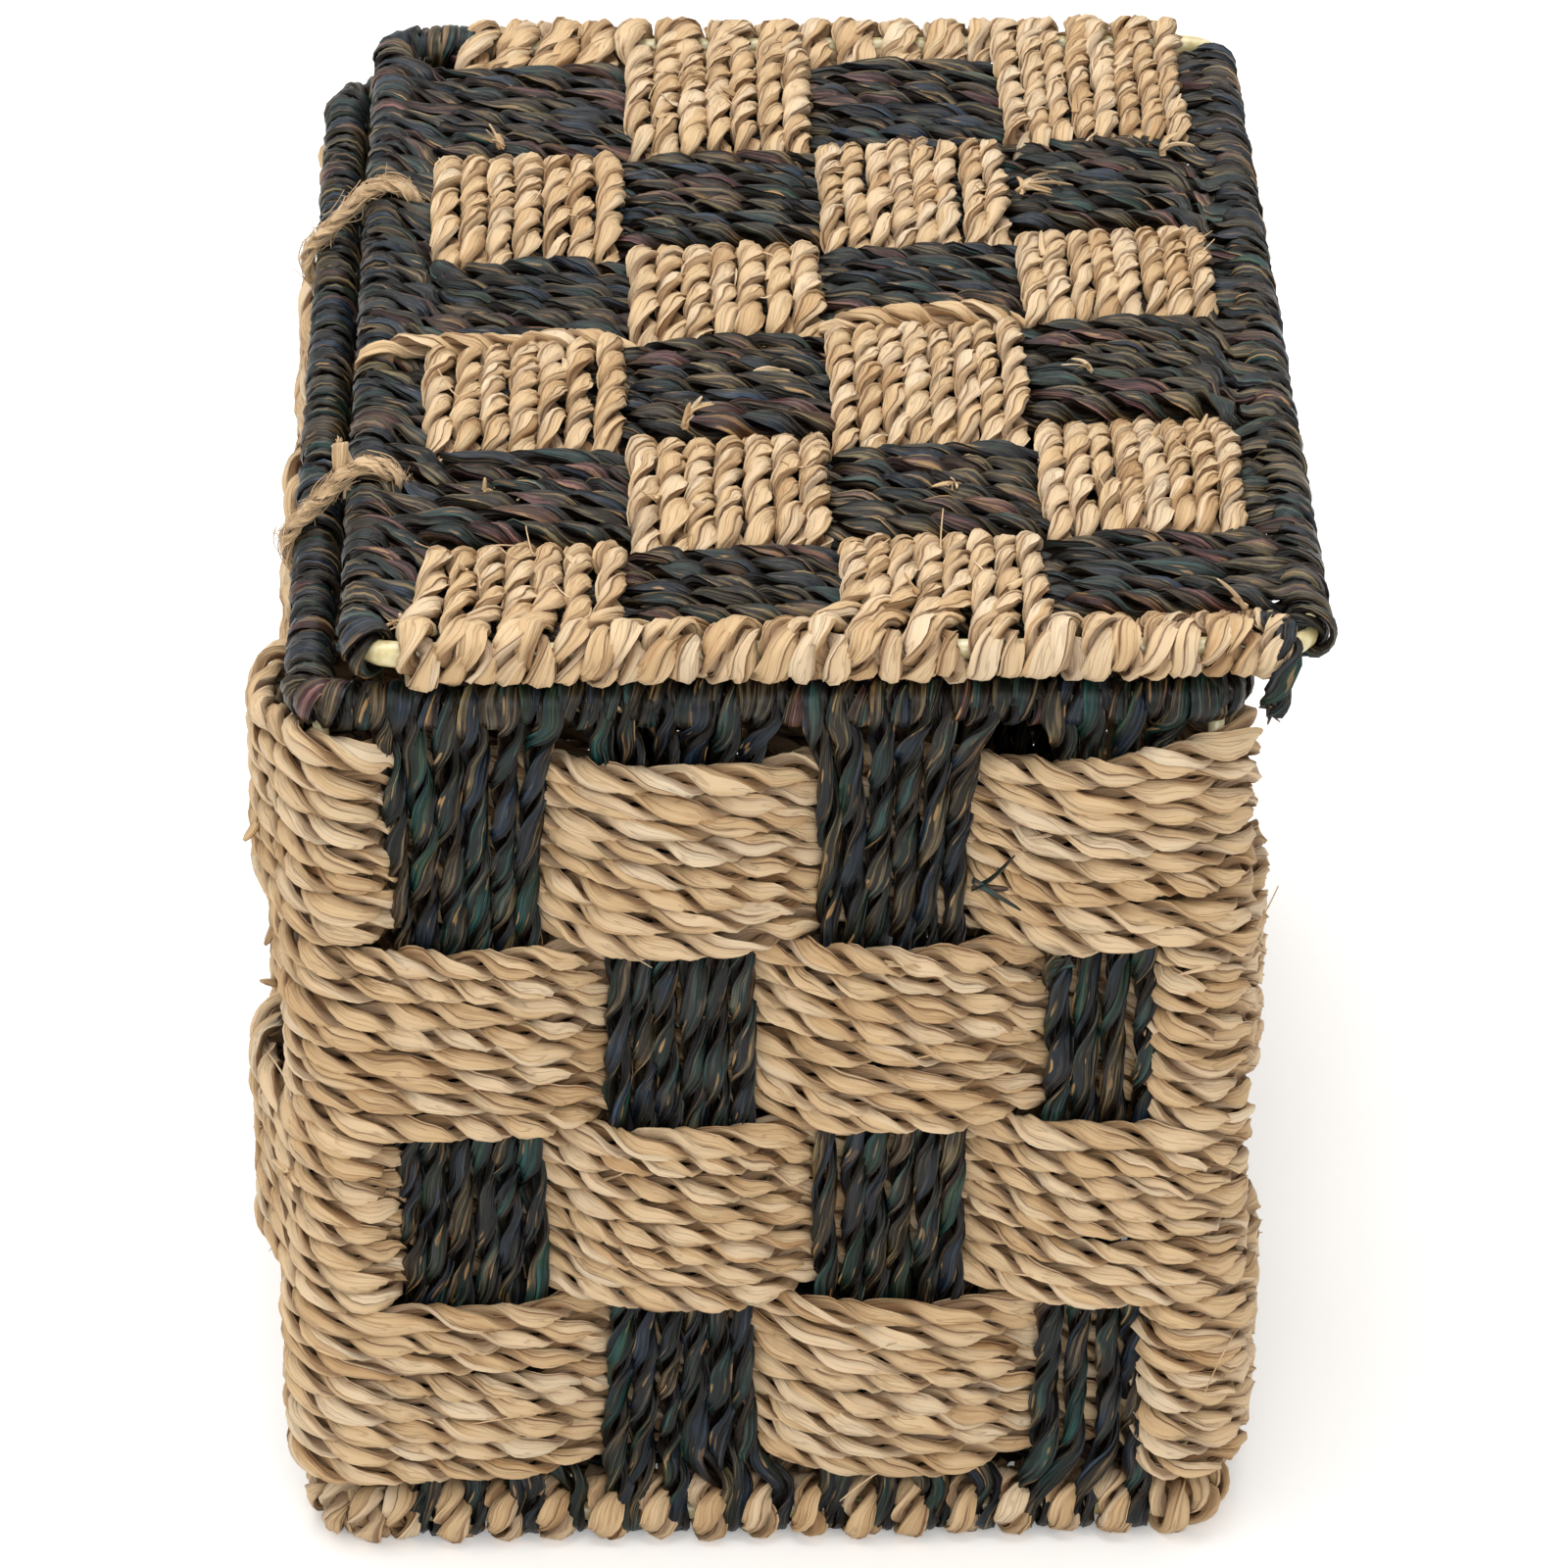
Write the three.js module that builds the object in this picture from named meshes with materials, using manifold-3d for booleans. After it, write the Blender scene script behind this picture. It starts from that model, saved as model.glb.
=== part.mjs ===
// Woven lidded box: a wire frame covered in a checkerboard of twisted seagrass rope, with a woven
// lid that hangs on two twine loops. Each band of parallel ropes is one flat ribbon here.
// Millimetres, +Z up. The hinge side is at -X and the near end at -Y.
import * as THREE from "three";
import Module from "manifold-3d";

// Wire frame, between the centre lines of its wires
const bodyWidth = 196;
const bodyLength = 296;
const wallHeight = 212;
const ringCornerRadius = 9;
const wireDiameter = 4.5;
const postDiameter = 3.5;

// Rope bands
const bandThickness = 5;
const bandEdgeTaper = 3.5;
const weaveGap = 0.5;
const seatGap = 0.3;
const darkWrapThickness = 3.1;
const lightWrapThickness = 4.4;
const wrapSideGap = 0.6;
const cornerWrapGap = 1.2;

// Walls: dark stakes stand in groups, and light bands go round in front of and behind them
const wallBandCount = 4;
const rimWindow = 13.2;
const baseWindow = 14;
const wallBandGap = 0.8;
const endGroupCount = 4;
const sideGroupCount = 6;
const endMargin = 6;
const sideMargin = 10;
const stakeSpacing = 13;
const narrowing = 8;
const nearEndShift = 3.5;
const rimBend = 9;
const stakeShoulder = 2.5;

// Lid: its frame lies inside the rim at the hinge and beyond it at the free edge
const hingeInset = 12;
const freeOverhang = 16.5;
const endOverhang = 1;
const lidCornerRadius = 7;
const lidClearance = 0.4;
const lidHingeMargin = 10.75;
const lidFreeMargin = 8.75;
const lidNearMargin = 9.5;
const lidFarMargin = 16;
const lidRowShares = [0.131, 0.171, 0.179, 0.161, 0.183, 0.175];
const lightSpacing = 2;
const lidDarkSpacing = 8;
const darkWave = 1.6;
const lightLap = 2.5;
const darkLap = 4;

// Floor, woven like the lid
const floorRise = 1.2;
const floorMargin = 10;
const floorDarkSpacing = 10;
const floorEndLength = 5;

// Twine loops that hinge the lid
const twineDiameter = 4;
const twineClearance = 0.6;
const twineSideClearance = 0.5;
const twineSwingClearance = 1;
const tieSpread = 138;
const tieShift = -9;

// Facets of the round forms
const wrapFacets = 8;
const cornerDivisions = 2;
const loopDivisions = 4;
const cutterFacets = 32;

// Pitches of the bands, which fill the frame between its margins
const endPitch = (bodyWidth - 2 * endMargin) / endGroupCount;
const sidePitch = (bodyLength - 2 * sideMargin) / sideGroupCount;
const lidWidth = bodyWidth - hingeInset + freeOverhang;
const lidLength = bodyLength + 2 * endOverhang;
const lidColumnPitch = (lidWidth - lidHingeMargin - lidFreeMargin) / endGroupCount;
const lidColumnShift = (lidHingeMargin - lidFreeMargin) / 2;
const lidRowsLength = lidLength - lidNearMargin - lidFarMargin;
const floorColumnPitch = (bodyWidth - 2 * floorMargin) / endGroupCount;
const floorRowPitch = (bodyLength - 2 * floorMargin) / sideGroupCount;

const wireRadius = wireDiameter / 2;
const twineRadius = twineDiameter / 2;
const bandHalf = bandThickness / 2;
const weaveLift = bandThickness + weaveGap;
const lightWave = weaveLift - darkWave;
const darkWrapRadius = wireRadius + seatGap + darkWrapThickness / 2;
const lightWrapRadius = wireRadius + seatGap + lightWrapThickness / 2;
const darkBarRadius = darkWrapRadius + darkWrapThickness / 2;
const lightBarRadius = lightWrapRadius + lightWrapThickness / 2;
const lidLift = darkBarRadius + lightBarRadius + lidClearance;

const natural = new THREE.MeshStandardMaterial({ color: 0xcdb388, roughness: 0.8, flatShading: true });
const dyed = new THREE.MeshStandardMaterial({ color: 0x2a2f33, roughness: 0.75, flatShading: true });
const jute = new THREE.MeshStandardMaterial({ color: 0xc9a878, roughness: 0.9, flatShading: true });
const wire = new THREE.MeshStandardMaterial({ color: 0xd8cc9a, roughness: 0.4, metalness: 0.2 });

const across = new THREE.Vector3(1, 0, 0);
const along = new THREE.Vector3(0, 1, 0);
const upward = new THREE.Vector3(0, 0, 1);

// Axes of a sweep: the two of its path's plane, then the one that its width runs along
const levelPath = [across, along, upward];
const crossPath = [upward, across, along];
const lengthPath = [along, upward, across];

const wasm = await Module();
wasm.setup();

// The direction across the path at a point, lengthened so that a bent band keeps its thickness.
function mitre(points, index, closed) {
  const here = points[index];
  const count = points.length;
  const before = closed || index > 0 ? points[(index + count - 1) % count] : null;
  const after = closed || index < count - 1 ? points[(index + 1) % count] : null;
  const normals = [before && [before, here], after && [here, after]].filter(Boolean).map(([p, q]) => {
    const step = new THREE.Vector2(q.x - p.x, q.y - p.y).normalize();
    return new THREE.Vector2(-step.y, step.x);
  });
  const sum = normals.reduce((total, n) => total.add(n), new THREE.Vector2()).normalize();
  return sum.divideScalar(sum.dot(normals[0]));
}

// A closed solid: a section carried along a plane path. A section point holds its offset across
// the path and its place along the width axis.
function sweep(points, axes, section, closed = false) {
  const rings = points.map((point, index) => {
    const normal = mitre(points, index, closed);
    return section(point).map(([offset, wide]) =>
      new THREE.Vector3()
        .addScaledVector(axes[0], point.x + normal.x * offset)
        .addScaledVector(axes[1], point.y + normal.y * offset)
        .addScaledVector(axes[2], wide),
    );
  });
  const sides = rings[0].length;
  const faces = [];
  const links = closed ? rings.length : rings.length - 1;
  for (let i = 0; i < links; i++) {
    const here = i * sides;
    const next = ((i + 1) % rings.length) * sides;
    for (let j = 0; j < sides; j++) {
      const k = (j + 1) % sides;
      faces.push(here + j, here + k, next + k, here + j, next + k, next + j);
    }
  }
  if (!closed) {
    const outline = section(points[0]).map(([offset, wide]) => new THREE.Vector2(offset, wide));
    const last = (rings.length - 1) * sides;
    for (const [a, b, c] of THREE.ShapeUtils.triangulateShape(outline, [])) {
      faces.push(c, b, a, last + a, last + b, last + c);
    }
  }
  const geometry = new THREE.BufferGeometry().setFromPoints(rings.flat());
  geometry.setIndex(faces);
  geometry.computeVertexNormals();
  return geometry;
}

function roundSection(radius) {
  return () => facetCorners(radius * Math.cos(Math.PI / wrapFacets), 0, wrapFacets - 1);
}

// Corners of the polygon whose flats lie at this radius, by number, with one flat on each axis.
function facetCorners(flatRadius, first, last) {
  const corners = [];
  const turn = (2 * Math.PI) / wrapFacets;
  const step = Math.sign(last - first);
  for (let k = first; k !== last + step; k += step) {
    const angle = (k + 1 / 2) * turn;
    const reach = flatRadius / Math.cos(turn / 2);
    corners.push([reach * Math.cos(angle), reach * Math.sin(angle)]);
  }
  return corners;
}

// A point of a band's path with the band's half thickness and the places of its two edges.
function station(x, y, half, low, high) {
  return { x, y, half, low, high };
}

function bandSection({ half, low, high }) {
  const inLow = low + bandEdgeTaper;
  const inHigh = high - bandEdgeTaper;
  return [
    [half, inLow],
    [half, inHigh],
    [0, high],
    [-half, inHigh],
    [-half, inLow],
    [0, low],
  ];
}

function solid(geometry) {
  const vertProperties = new Float32Array(geometry.attributes.position.array);
  const triVerts = new Uint32Array(geometry.index.array);
  return new wasm.Manifold(new wasm.Mesh({ numProp: 3, vertProperties, triVerts }));
}

function cut(geometry, cutter) {
  const mesh = solid(geometry).subtract(solid(cutter)).getMesh();
  const result = new THREE.BufferGeometry();
  result.setAttribute("position", new THREE.BufferAttribute(new Float32Array(mesh.vertProperties), 3));
  result.setIndex(new THREE.BufferAttribute(new Uint32Array(mesh.triVerts), 1));
  result.computeVertexNormals();
  return result;
}

function piece(name, geometry, material, parent) {
  const mesh = new THREE.Mesh(geometry, material.clone());
  mesh.name = name;
  parent.add(mesh);
  return mesh;
}

// Places of the members of a row, spaced evenly about its middle.
function spaced(count, pitch) {
  return Array.from({ length: count }, (_, i) => (i - (count - 1) / 2) * pitch);
}

// A rectangle with round corners, as the points of one closed path.
function ringPoints(width, length, radius) {
  const x = width / 2 - radius;
  const y = length / 2 - radius;
  const path = new THREE.Path();
  path.absarc(x, -y, radius, -Math.PI / 2, 0);
  path.absarc(x, y, radius, 0, Math.PI / 2);
  path.absarc(-x, y, radius, Math.PI / 2, Math.PI);
  path.absarc(-x, -y, radius, Math.PI, Math.PI * (3 / 2));
  return path.getPoints(cornerDivisions);
}

function wireRing(width, length, radius) {
  return sweep(ringPoints(width, length, radius), levelPath, roundSection(wireRadius), true);
}

// Wire frame of the body: the rim and base rings on four corner posts
function addFrame(body) {
  piece("rim_wire", wireRing(bodyWidth, bodyLength, ringCornerRadius), wire, body);
  const base = wireRing(bodyWidth, bodyLength, ringCornerRadius);
  piece("base_wire", base, wire, body).position.z = -wallHeight;
  const postLength = wallHeight - wireDiameter - 2 * seatGap;
  const inset = ringCornerRadius * (1 - Math.SQRT1_2);
  cornerSigns.forEach(([sx, sy], i) => {
    const post = new THREE.CylinderGeometry(postDiameter / 2, postDiameter / 2, postLength, wrapFacets);
    const mesh = piece("corner_post_" + (i + 1), post, wire, body);
    mesh.rotation.x = Math.PI / 2;
    mesh.position.set(sx * (bodyWidth / 2 - inset), sy * (bodyLength / 2 - inset), -wallHeight / 2);
  });
}
const cornerSigns = [
  [1, -1],
  [1, 1],
  [-1, 1],
  [-1, -1],
];

// Dark rope wound round the bend of the rim wire, open below where the post comes up
function addRimCorners(body) {
  const outer = facetCorners(darkBarRadius, -1, 4);
  const inner = facetCorners(wireRadius + seatGap, 4, -1);
  const endTurn = cornerWrapGap / ringCornerRadius;
  cornerSigns.forEach(([sx, sy], i) => {
    const bend = new THREE.Path();
    const x = sx * (bodyWidth / 2 - ringCornerRadius);
    const y = sy * (bodyLength / 2 - ringCornerRadius);
    const start = ((i - 1) * Math.PI) / 2;
    bend.absarc(x, y, ringCornerRadius, start + endTurn, start + Math.PI / 2 - endTurn);
    const wrap = sweep(bend.getPoints(cornerDivisions), levelPath, () => [...outer, ...inner]);
    piece("rim_corner_wrap_" + (i + 1), wrap, dyed, body);
  });
}

// The four walls in the order of a walk round the box. Groups are numbered along that walk.
function stakeGroups(count, pitch) {
  return spaced(count, pitch).map((place) => ({ place, pitch, width: pitch - stakeSpacing }));
}
const farGroups = stakeGroups(endGroupCount, endPitch);
const sideGroups = stakeGroups(sideGroupCount, sidePitch);
const nearGroups = farGroups.map((group, i) => ({
  ...group,
  place: group.place + nearEndShift,
  width: group.width - (i === endGroupCount - 1 ? narrowing : 0),
}));
const walls = [
  { name: "front", turn: -Math.PI / 2, reach: bodyLength / 2, span: bodyWidth / 2, groups: nearGroups },
  { name: "right", turn: 0, reach: bodyWidth / 2, span: bodyLength / 2, groups: sideGroups },
  { name: "back", turn: Math.PI / 2, reach: bodyLength / 2, span: bodyWidth / 2, groups: farGroups },
  { name: "left", turn: Math.PI, reach: bodyWidth / 2, span: bodyLength / 2, groups: sideGroups },
];

// A group of stakes: it wraps over the rim wire, stands in the wall and turns under the base wire.
// The path holds its height, then how far out it lies.
function stakeBand({ place, pitch, width }, span) {
  const wrapReach = (pitch - wrapSideGap) / 2;
  const straight = span - ringCornerRadius - wrapSideGap / 2;
  const low = Math.max(-wrapReach, -straight - place);
  const high = Math.min(wrapReach, straight - place);
  const side = width / 2;
  const wrapHalf = darkWrapThickness / 2;
  const shoulder = side + stakeShoulder;
  const rim = facetCorners(darkWrapRadius, 4, -1).map(([out, up]) => station(up, out, wrapHalf, low, high));
  const base = facetCorners(darkWrapRadius, 0, -3).map(([out, up]) =>
    station(up - wallHeight, out, wrapHalf, low, high),
  );
  const stem = [
    station(-rimBend, 0, bandHalf, Math.max(low, -shoulder), Math.min(high, shoulder)),
    station(-rimWindow, 0, bandHalf, -side, side),
    station(baseWindow - wallHeight, 0, bandHalf, -side, side),
  ];
  return sweep([...rim, ...stem, ...base], crossPath, bandSection);
}

// The room that a twine loop needs as it turns about a wire, as a ring in the loop's plane
function tieSlot() {
  const inner = darkBarRadius + seatGap;
  const outer = tieRadius() + twineRadius + twineSwingClearance;
  const side = twineRadius + twineSideClearance;
  const half = (outer - inner) / 2;
  const middle = new THREE.Path().absarc(0, 0, inner + half, 0, 2 * Math.PI);
  const points = middle.getSpacedPoints(cutterFacets).slice(0, cutterFacets);
  const block = () => [
    [half, -side],
    [half, side],
    [-half, side],
    [-half, -side],
  ];
  return sweep(points, crossPath, block, true);
}

function tieRadius() {
  return darkBarRadius + twineClearance + twineRadius;
}

// A band at this place, cut where one of these twine loops turns through it
function slotted(band, place, width, wireOffset, loops) {
  const loop = loops.find((tie) => Math.abs(tie - place) < width / 2);
  return loop === undefined ? band : cut(band, tieSlot().translate(wireOffset, loop - place, 0));
}
const tiePlaces = [tieShift - tieSpread / 2, tieShift + tieSpread / 2];

function addStakes(body) {
  for (const wall of walls) {
    const side = new THREE.Group();
    side.rotation.z = wall.turn;
    body.add(side);
    wall.groups.forEach((group, i) => {
      // The hinge wall is turned half round, so the loops' places change sign there
      const loops = wall.name === "left" ? tiePlaces.map((tie) => -tie) : [];
      const band = slotted(stakeBand(group, wall.span), group.place, group.width, 0, loops);
      piece(wall.name + "_stakes_" + (i + 1), band, dyed, side).position.set(wall.reach, group.place, 0);
    });
  }
}

// A light band: one closed ribbon that passes outside every second group of stakes all the way
// round, and outside every corner post
function wallBandPoints(row) {
  const points = [];
  let count = row;
  const cornerStep = Math.PI / 6;
  const cornerFlat = ringCornerRadius + postDiameter / 2 + seatGap + bandHalf;
  const cornerReach = cornerFlat / Math.cos(cornerStep / 2);
  for (const wall of walls) {
    const turn = new THREE.Matrix4().makeRotationZ(wall.turn);
    const put = (out, place) => points.push(new THREE.Vector3(out, place, 0).applyMatrix4(turn));
    for (const { place, width } of wall.groups) {
      const offset = count % 2 ? weaveLift : -weaveLift;
      const flat = width / 2 - bandEdgeTaper + weaveGap;
      put(wall.reach + offset, place - flat);
      put(wall.reach + offset, place + flat);
      count += 1;
    }
    for (const angle of [cornerStep, 2 * cornerStep]) {
      const out = wall.reach - ringCornerRadius + cornerReach * Math.cos(angle);
      put(out, wall.span - ringCornerRadius + cornerReach * Math.sin(angle));
    }
  }
  return points;
}

function addWallBands(body) {
  const pitch = (wallHeight - rimWindow - baseWindow) / wallBandCount;
  const reach = (pitch - wallBandGap) / 2;
  const section = () => bandSection({ half: bandHalf, low: -reach, high: reach });
  for (let row = 0; row < wallBandCount; row++) {
    const band = sweep(wallBandPoints(row), levelPath, section, true);
    const height = -rimWindow - (row + 1 / 2) * pitch;
    piece("wall_band_" + (row + 1), band, natural, body).position.z = height;
  }
}

// The wavy stretch of a band that passes over and under the bands that cross it
function waves(crossings, lap, lift, firstUp, reach) {
  return crossings.flatMap(({ place, width }, i) => {
    const flat = width / 2 - lap;
    const height = (i % 2 === 0) === firstUp ? lift : -lift;
    return [
      { place: place - flat, height, half: bandHalf, reach },
      { place: place + flat, height, half: bandHalf, reach },
    ];
  });
}

// The end of a sheet's band: wound over the wire that lies at this place, on one side or the other,
// and spread from the band's own reach to the reach of its turns
function wireHook(place, side, radius, thickness, spread, reach) {
  const half = thickness / 2;
  const hook = facetCorners(radius, -2, 2).map(([out, up]) => {
    return { place: place + out, height: up, half, reach: spread };
  });
  hook.push({ place: place - rimBend, height: 0, half: bandHalf, reach });
  const turned = hook.map((point) => ({ ...point, place: point.place * side }));
  return side > 0 ? turned.reverse() : turned;
}

// The end of a floor band, which stops against the base wire
function buttEnd(place, side, reach) {
  const end = place - wireRadius - seatGap;
  const points = [
    { place: end - floorEndLength, height: 0, half: bandHalf, reach },
    { place: end, height: 0, half: bandHalf, reach },
  ];
  const turned = points.map((point) => ({ ...point, place: point.place * side }));
  return side > 0 ? turned : turned.reverse();
}

function crossBand(points) {
  const stations = points.map((p) => station(p.height, p.place, p.half, -p.reach, p.reach));
  return sweep(stations, crossPath, bandSection);
}

function lengthBand(points) {
  const stations = points.map((p) => station(p.place, p.height, p.half, -p.reach, p.reach));
  return sweep(stations, lengthPath, bandSection);
}

// The bands of a sheet that run one way, each in its own even stretch
function evenBands(count, pitch, shift, spacing) {
  const width = pitch - spacing;
  return spaced(count, pitch).map((place) => ({ place: place + shift, stretch: pitch, width }));
}

// The lid's rows from its near end, which are not even
function lidRows() {
  let end = lidNearMargin - lidLength / 2;
  return lidRowShares.map((share) => {
    const stretch = share * lidRowsLength;
    end += stretch;
    return { place: end - stretch / 2, stretch, width: stretch - lidDarkSpacing };
  });
}

// Lid: dark bands across and light bands along, wound on to the lid's own wire ring
function addLid(lid) {
  piece("lid_wire", wireRing(lidWidth, lidLength, lidCornerRadius), wire, lid);
  const columns = evenBands(endGroupCount, lidColumnPitch, lidColumnShift, lightSpacing);
  const rows = lidRows();
  columns.forEach(({ place, stretch, width }, i) => {
    const lightHook = (stretch - wrapSideGap) / 2;
    const middle = waves(rows, lightLap, lightWave, i % 2 === 0, width / 2);
    const near = wireHook(lidLength / 2, -1, lightWrapRadius, lightWrapThickness, lightHook, width / 2);
    const far = wireHook(lidLength / 2, 1, lightWrapRadius, lightWrapThickness, lightHook, width / 2);
    const band = lengthBand([...near, ...middle, ...far]);
    piece("lid_long_" + (i + 1), band, natural, lid).position.x = place;
  });
  rows.forEach(({ place, stretch, width }, i) => {
    const darkHook = (stretch - wrapSideGap) / 2;
    const middle = waves(columns, darkLap, darkWave, i % 2 === 1, width / 2);
    const hinge = wireHook(lidWidth / 2, -1, darkWrapRadius, darkWrapThickness, darkHook, width / 2);
    const free = wireHook(lidWidth / 2, 1, darkWrapRadius, darkWrapThickness, darkHook, width / 2);
    const whole = crossBand([...hinge, ...middle, ...free]);
    const band = slotted(whole, place, width, -lidWidth / 2, tiePlaces);
    piece("lid_cross_" + (i + 1), band, dyed, lid).position.y = place;
  });
}

function addFloor(floor) {
  const columns = evenBands(endGroupCount, floorColumnPitch, 0, lightSpacing);
  const rows = evenBands(sideGroupCount, floorRowPitch, 0, floorDarkSpacing);
  columns.forEach(({ place, width }, i) => {
    const middle = waves(rows, lightLap, lightWave, i % 2 === 0, width / 2);
    const near = buttEnd(bodyLength / 2, -1, width / 2);
    const far = buttEnd(bodyLength / 2, 1, width / 2);
    const band = lengthBand([...near, ...middle, ...far]);
    piece("floor_long_" + (i + 1), band, natural, floor).position.x = place;
  });
  rows.forEach(({ place, width }, i) => {
    const middle = waves(columns, darkLap, darkWave, i % 2 === 1, width / 2);
    const left = buttEnd(bodyWidth / 2, -1, width / 2);
    const right = buttEnd(bodyWidth / 2, 1, width / 2);
    const band = crossBand([...left, ...middle, ...right]);
    piece("floor_cross_" + (i + 1), band, dyed, floor).position.y = place;
  });
}

// Twine loops: each goes once round the rim wire and the lid's hinge wire
function addTies(body) {
  const lean = Math.atan2(hingeInset, lidLift);
  const reach = Math.hypot(hingeInset, lidLift);
  const radius = tieRadius() / Math.cos(Math.PI / 4 / loopDivisions);
  const loop = new THREE.Path();
  loop.absarc(0, 0, radius, lean + Math.PI / 2, lean + Math.PI * (3 / 2));
  loop.absarc(
    reach * Math.cos(lean),
    reach * Math.sin(lean),
    radius,
    lean - Math.PI / 2,
    lean + Math.PI / 2,
  );
  const points = loop.getPoints(loopDivisions);
  ["near", "far"].forEach((name, i) => {
    const ring = sweep(points, crossPath, roundSection(twineRadius), true);
    const mesh = piece("tie_" + name, ring, jute, body);
    mesh.position.set(-bodyWidth / 2, tiePlaces[i], 0);
  });
}

// The whole box stands on the ground with its bounding box centred on the origin
function wovenBox() {
  const body = new THREE.Group();
  addFrame(body);
  addRimCorners(body);
  addStakes(body);
  addWallBands(body);
  addTies(body);
  const floor = new THREE.Group();
  floor.position.z = floorRise - wallHeight;
  addFloor(floor);
  const lid = new THREE.Group();
  lid.position.set((hingeInset + freeOverhang) / 2, 0, lidLift);
  addLid(lid);
  body.add(floor, lid);
  const bounds = new THREE.Box3().setFromObject(body);
  const middle = bounds.getCenter(new THREE.Vector3());
  body.position.set(-middle.x, -middle.y, -bounds.min.z);
  const box = new THREE.Group();
  box.name = "woven_lidded_box";
  box.add(body);
  return box;
}

export default wovenBox();
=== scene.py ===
"""Woven lidded box: twisted seagrass rope on a wire frame, with a woven lid tied on by two twine loops.

Lengths are millimetres up to the mesh of each piece, which is written in metres. The studio's are metres.
"""

import math

import bpy
import numpy as np
from mathutils import Matrix, Vector


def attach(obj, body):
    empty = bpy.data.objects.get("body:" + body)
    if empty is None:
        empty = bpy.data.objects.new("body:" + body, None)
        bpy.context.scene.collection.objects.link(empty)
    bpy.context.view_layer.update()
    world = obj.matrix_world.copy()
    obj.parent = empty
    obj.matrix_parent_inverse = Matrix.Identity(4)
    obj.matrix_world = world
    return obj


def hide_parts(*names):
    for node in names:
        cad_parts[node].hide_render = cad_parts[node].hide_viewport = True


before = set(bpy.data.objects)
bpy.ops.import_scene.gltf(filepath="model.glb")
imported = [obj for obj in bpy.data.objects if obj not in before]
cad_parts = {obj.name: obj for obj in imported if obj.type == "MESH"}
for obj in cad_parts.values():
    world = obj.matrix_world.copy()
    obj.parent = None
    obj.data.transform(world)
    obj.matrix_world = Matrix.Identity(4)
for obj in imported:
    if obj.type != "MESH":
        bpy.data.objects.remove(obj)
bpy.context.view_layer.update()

MM = 0.001

# Camera: it looks down on the near end with a long lens, as the photograph does, with the long sides
# running straight away from it.
camera_place = Vector((-32.8, -1480.2, 996.7)) * MM
camera_down = math.radians(30.96)
camera_turn = math.radians(1.29)
camera_roll = math.radians(0.15)
lens_mm = 167.1

camera_data = bpy.data.cameras.new("photo_camera")
camera_data.lens = lens_mm
camera_data.sensor_width = 36
camera_data.clip_end = 100
camera = bpy.data.objects.new("photo_camera", camera_data)
camera.matrix_world = (
    Matrix.Translation(camera_place)
    @ Matrix.Rotation(-camera_turn, 4, "Z")
    @ Matrix.Rotation(math.pi / 2 - camera_down, 4, "X")
    @ Matrix.Rotation(camera_roll, 4, "Z")
)
bpy.context.collection.objects.link(camera)
bpy.context.scene.camera = camera
bpy.context.scene.view_settings.view_transform = "Standard"


# Studio: a white sweep that the box stands on, in a pale room, lit by one very broad lamp overhead and by
# dimmer ones in front and at the left, so that the shadow on the sweep stays faint. Its lengths are metres.
def linear(code):
    """An sRGB hex colour as the linear colour that Blender's sockets hold."""
    parts = [int(code[i : i + 2], 16) / 255 for i in (1, 3, 5)]
    return tuple(c / 12.92 if c <= 0.04045 else ((c + 0.055) / 1.055) ** 2.4 for c in parts) + (1,)


def add_node(tree, kind, inputs=(), stops=None, **settings):
    """Adds a node with its settings, its inputs and any ramp stops. An input is a value or another node's
    output."""
    made = tree.nodes.new("ShaderNode" + kind)
    for name, value in settings.items():
        setattr(made, name, value)
    for name, value in dict(inputs).items():
        if isinstance(value, bpy.types.NodeSocket):
            tree.links.new(value, made.inputs[name])
        else:
            made.inputs[name].default_value = value
    if stops:
        ramp = made.color_ramp
        while len(ramp.elements) < len(stops):
            ramp.elements.new(0.5)
        for element, (place, code) in zip(ramp.elements, stops):
            element.position = place
            element.color = linear(code)
    return made


def math_of(tree, operation, *values, **settings):
    """What a sum on values or on other nodes' outputs gives."""
    return add_node(tree, "Math", dict(enumerate(values)), operation=operation, **settings).outputs[0]


def ramp_of(tree, value, *stops):
    """The colour of a ramp at a value."""
    return add_node(tree, "ValToRGB", {"Fac": value}, stops=stops).outputs["Color"]


def new_look(name):
    """A material whose node tree is empty, and that tree."""
    made = bpy.data.materials.new(name)
    made.use_nodes = True
    made.node_tree.nodes.clear()
    return made, made.node_tree


def direct_rays(tree):
    """1 for the camera's own rays and those that gloss or glass sends on, and 0 for light on the box."""
    ray = add_node(tree, "LightPath")
    seen = ray.outputs["Is Camera Ray"]
    for kind in ("Is Glossy Ray", "Is Transmission Ray"):
        seen = math_of(tree, "MAXIMUM", seen, ray.outputs[kind])
    return seen


floor_size = 12
paper_white = "#F6F5F3"
paper_glow = 0.22
room_white = "#F7F6F4"
room_strength = 0.58
lamps_face = (0, 0, 0.12)

floor_mesh = bpy.data.meshes.new("paper_sweep")
corner = floor_size / 2
floor_mesh.from_pydata(
    [(-corner, -corner, 0), (corner, -corner, 0), (corner, corner, 0), (-corner, corner, 0)],
    [],
    [(0, 1, 2, 3)],
)
floor = bpy.data.objects.new("paper_sweep", floor_mesh)
bpy.context.collection.objects.link(floor)

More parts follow.
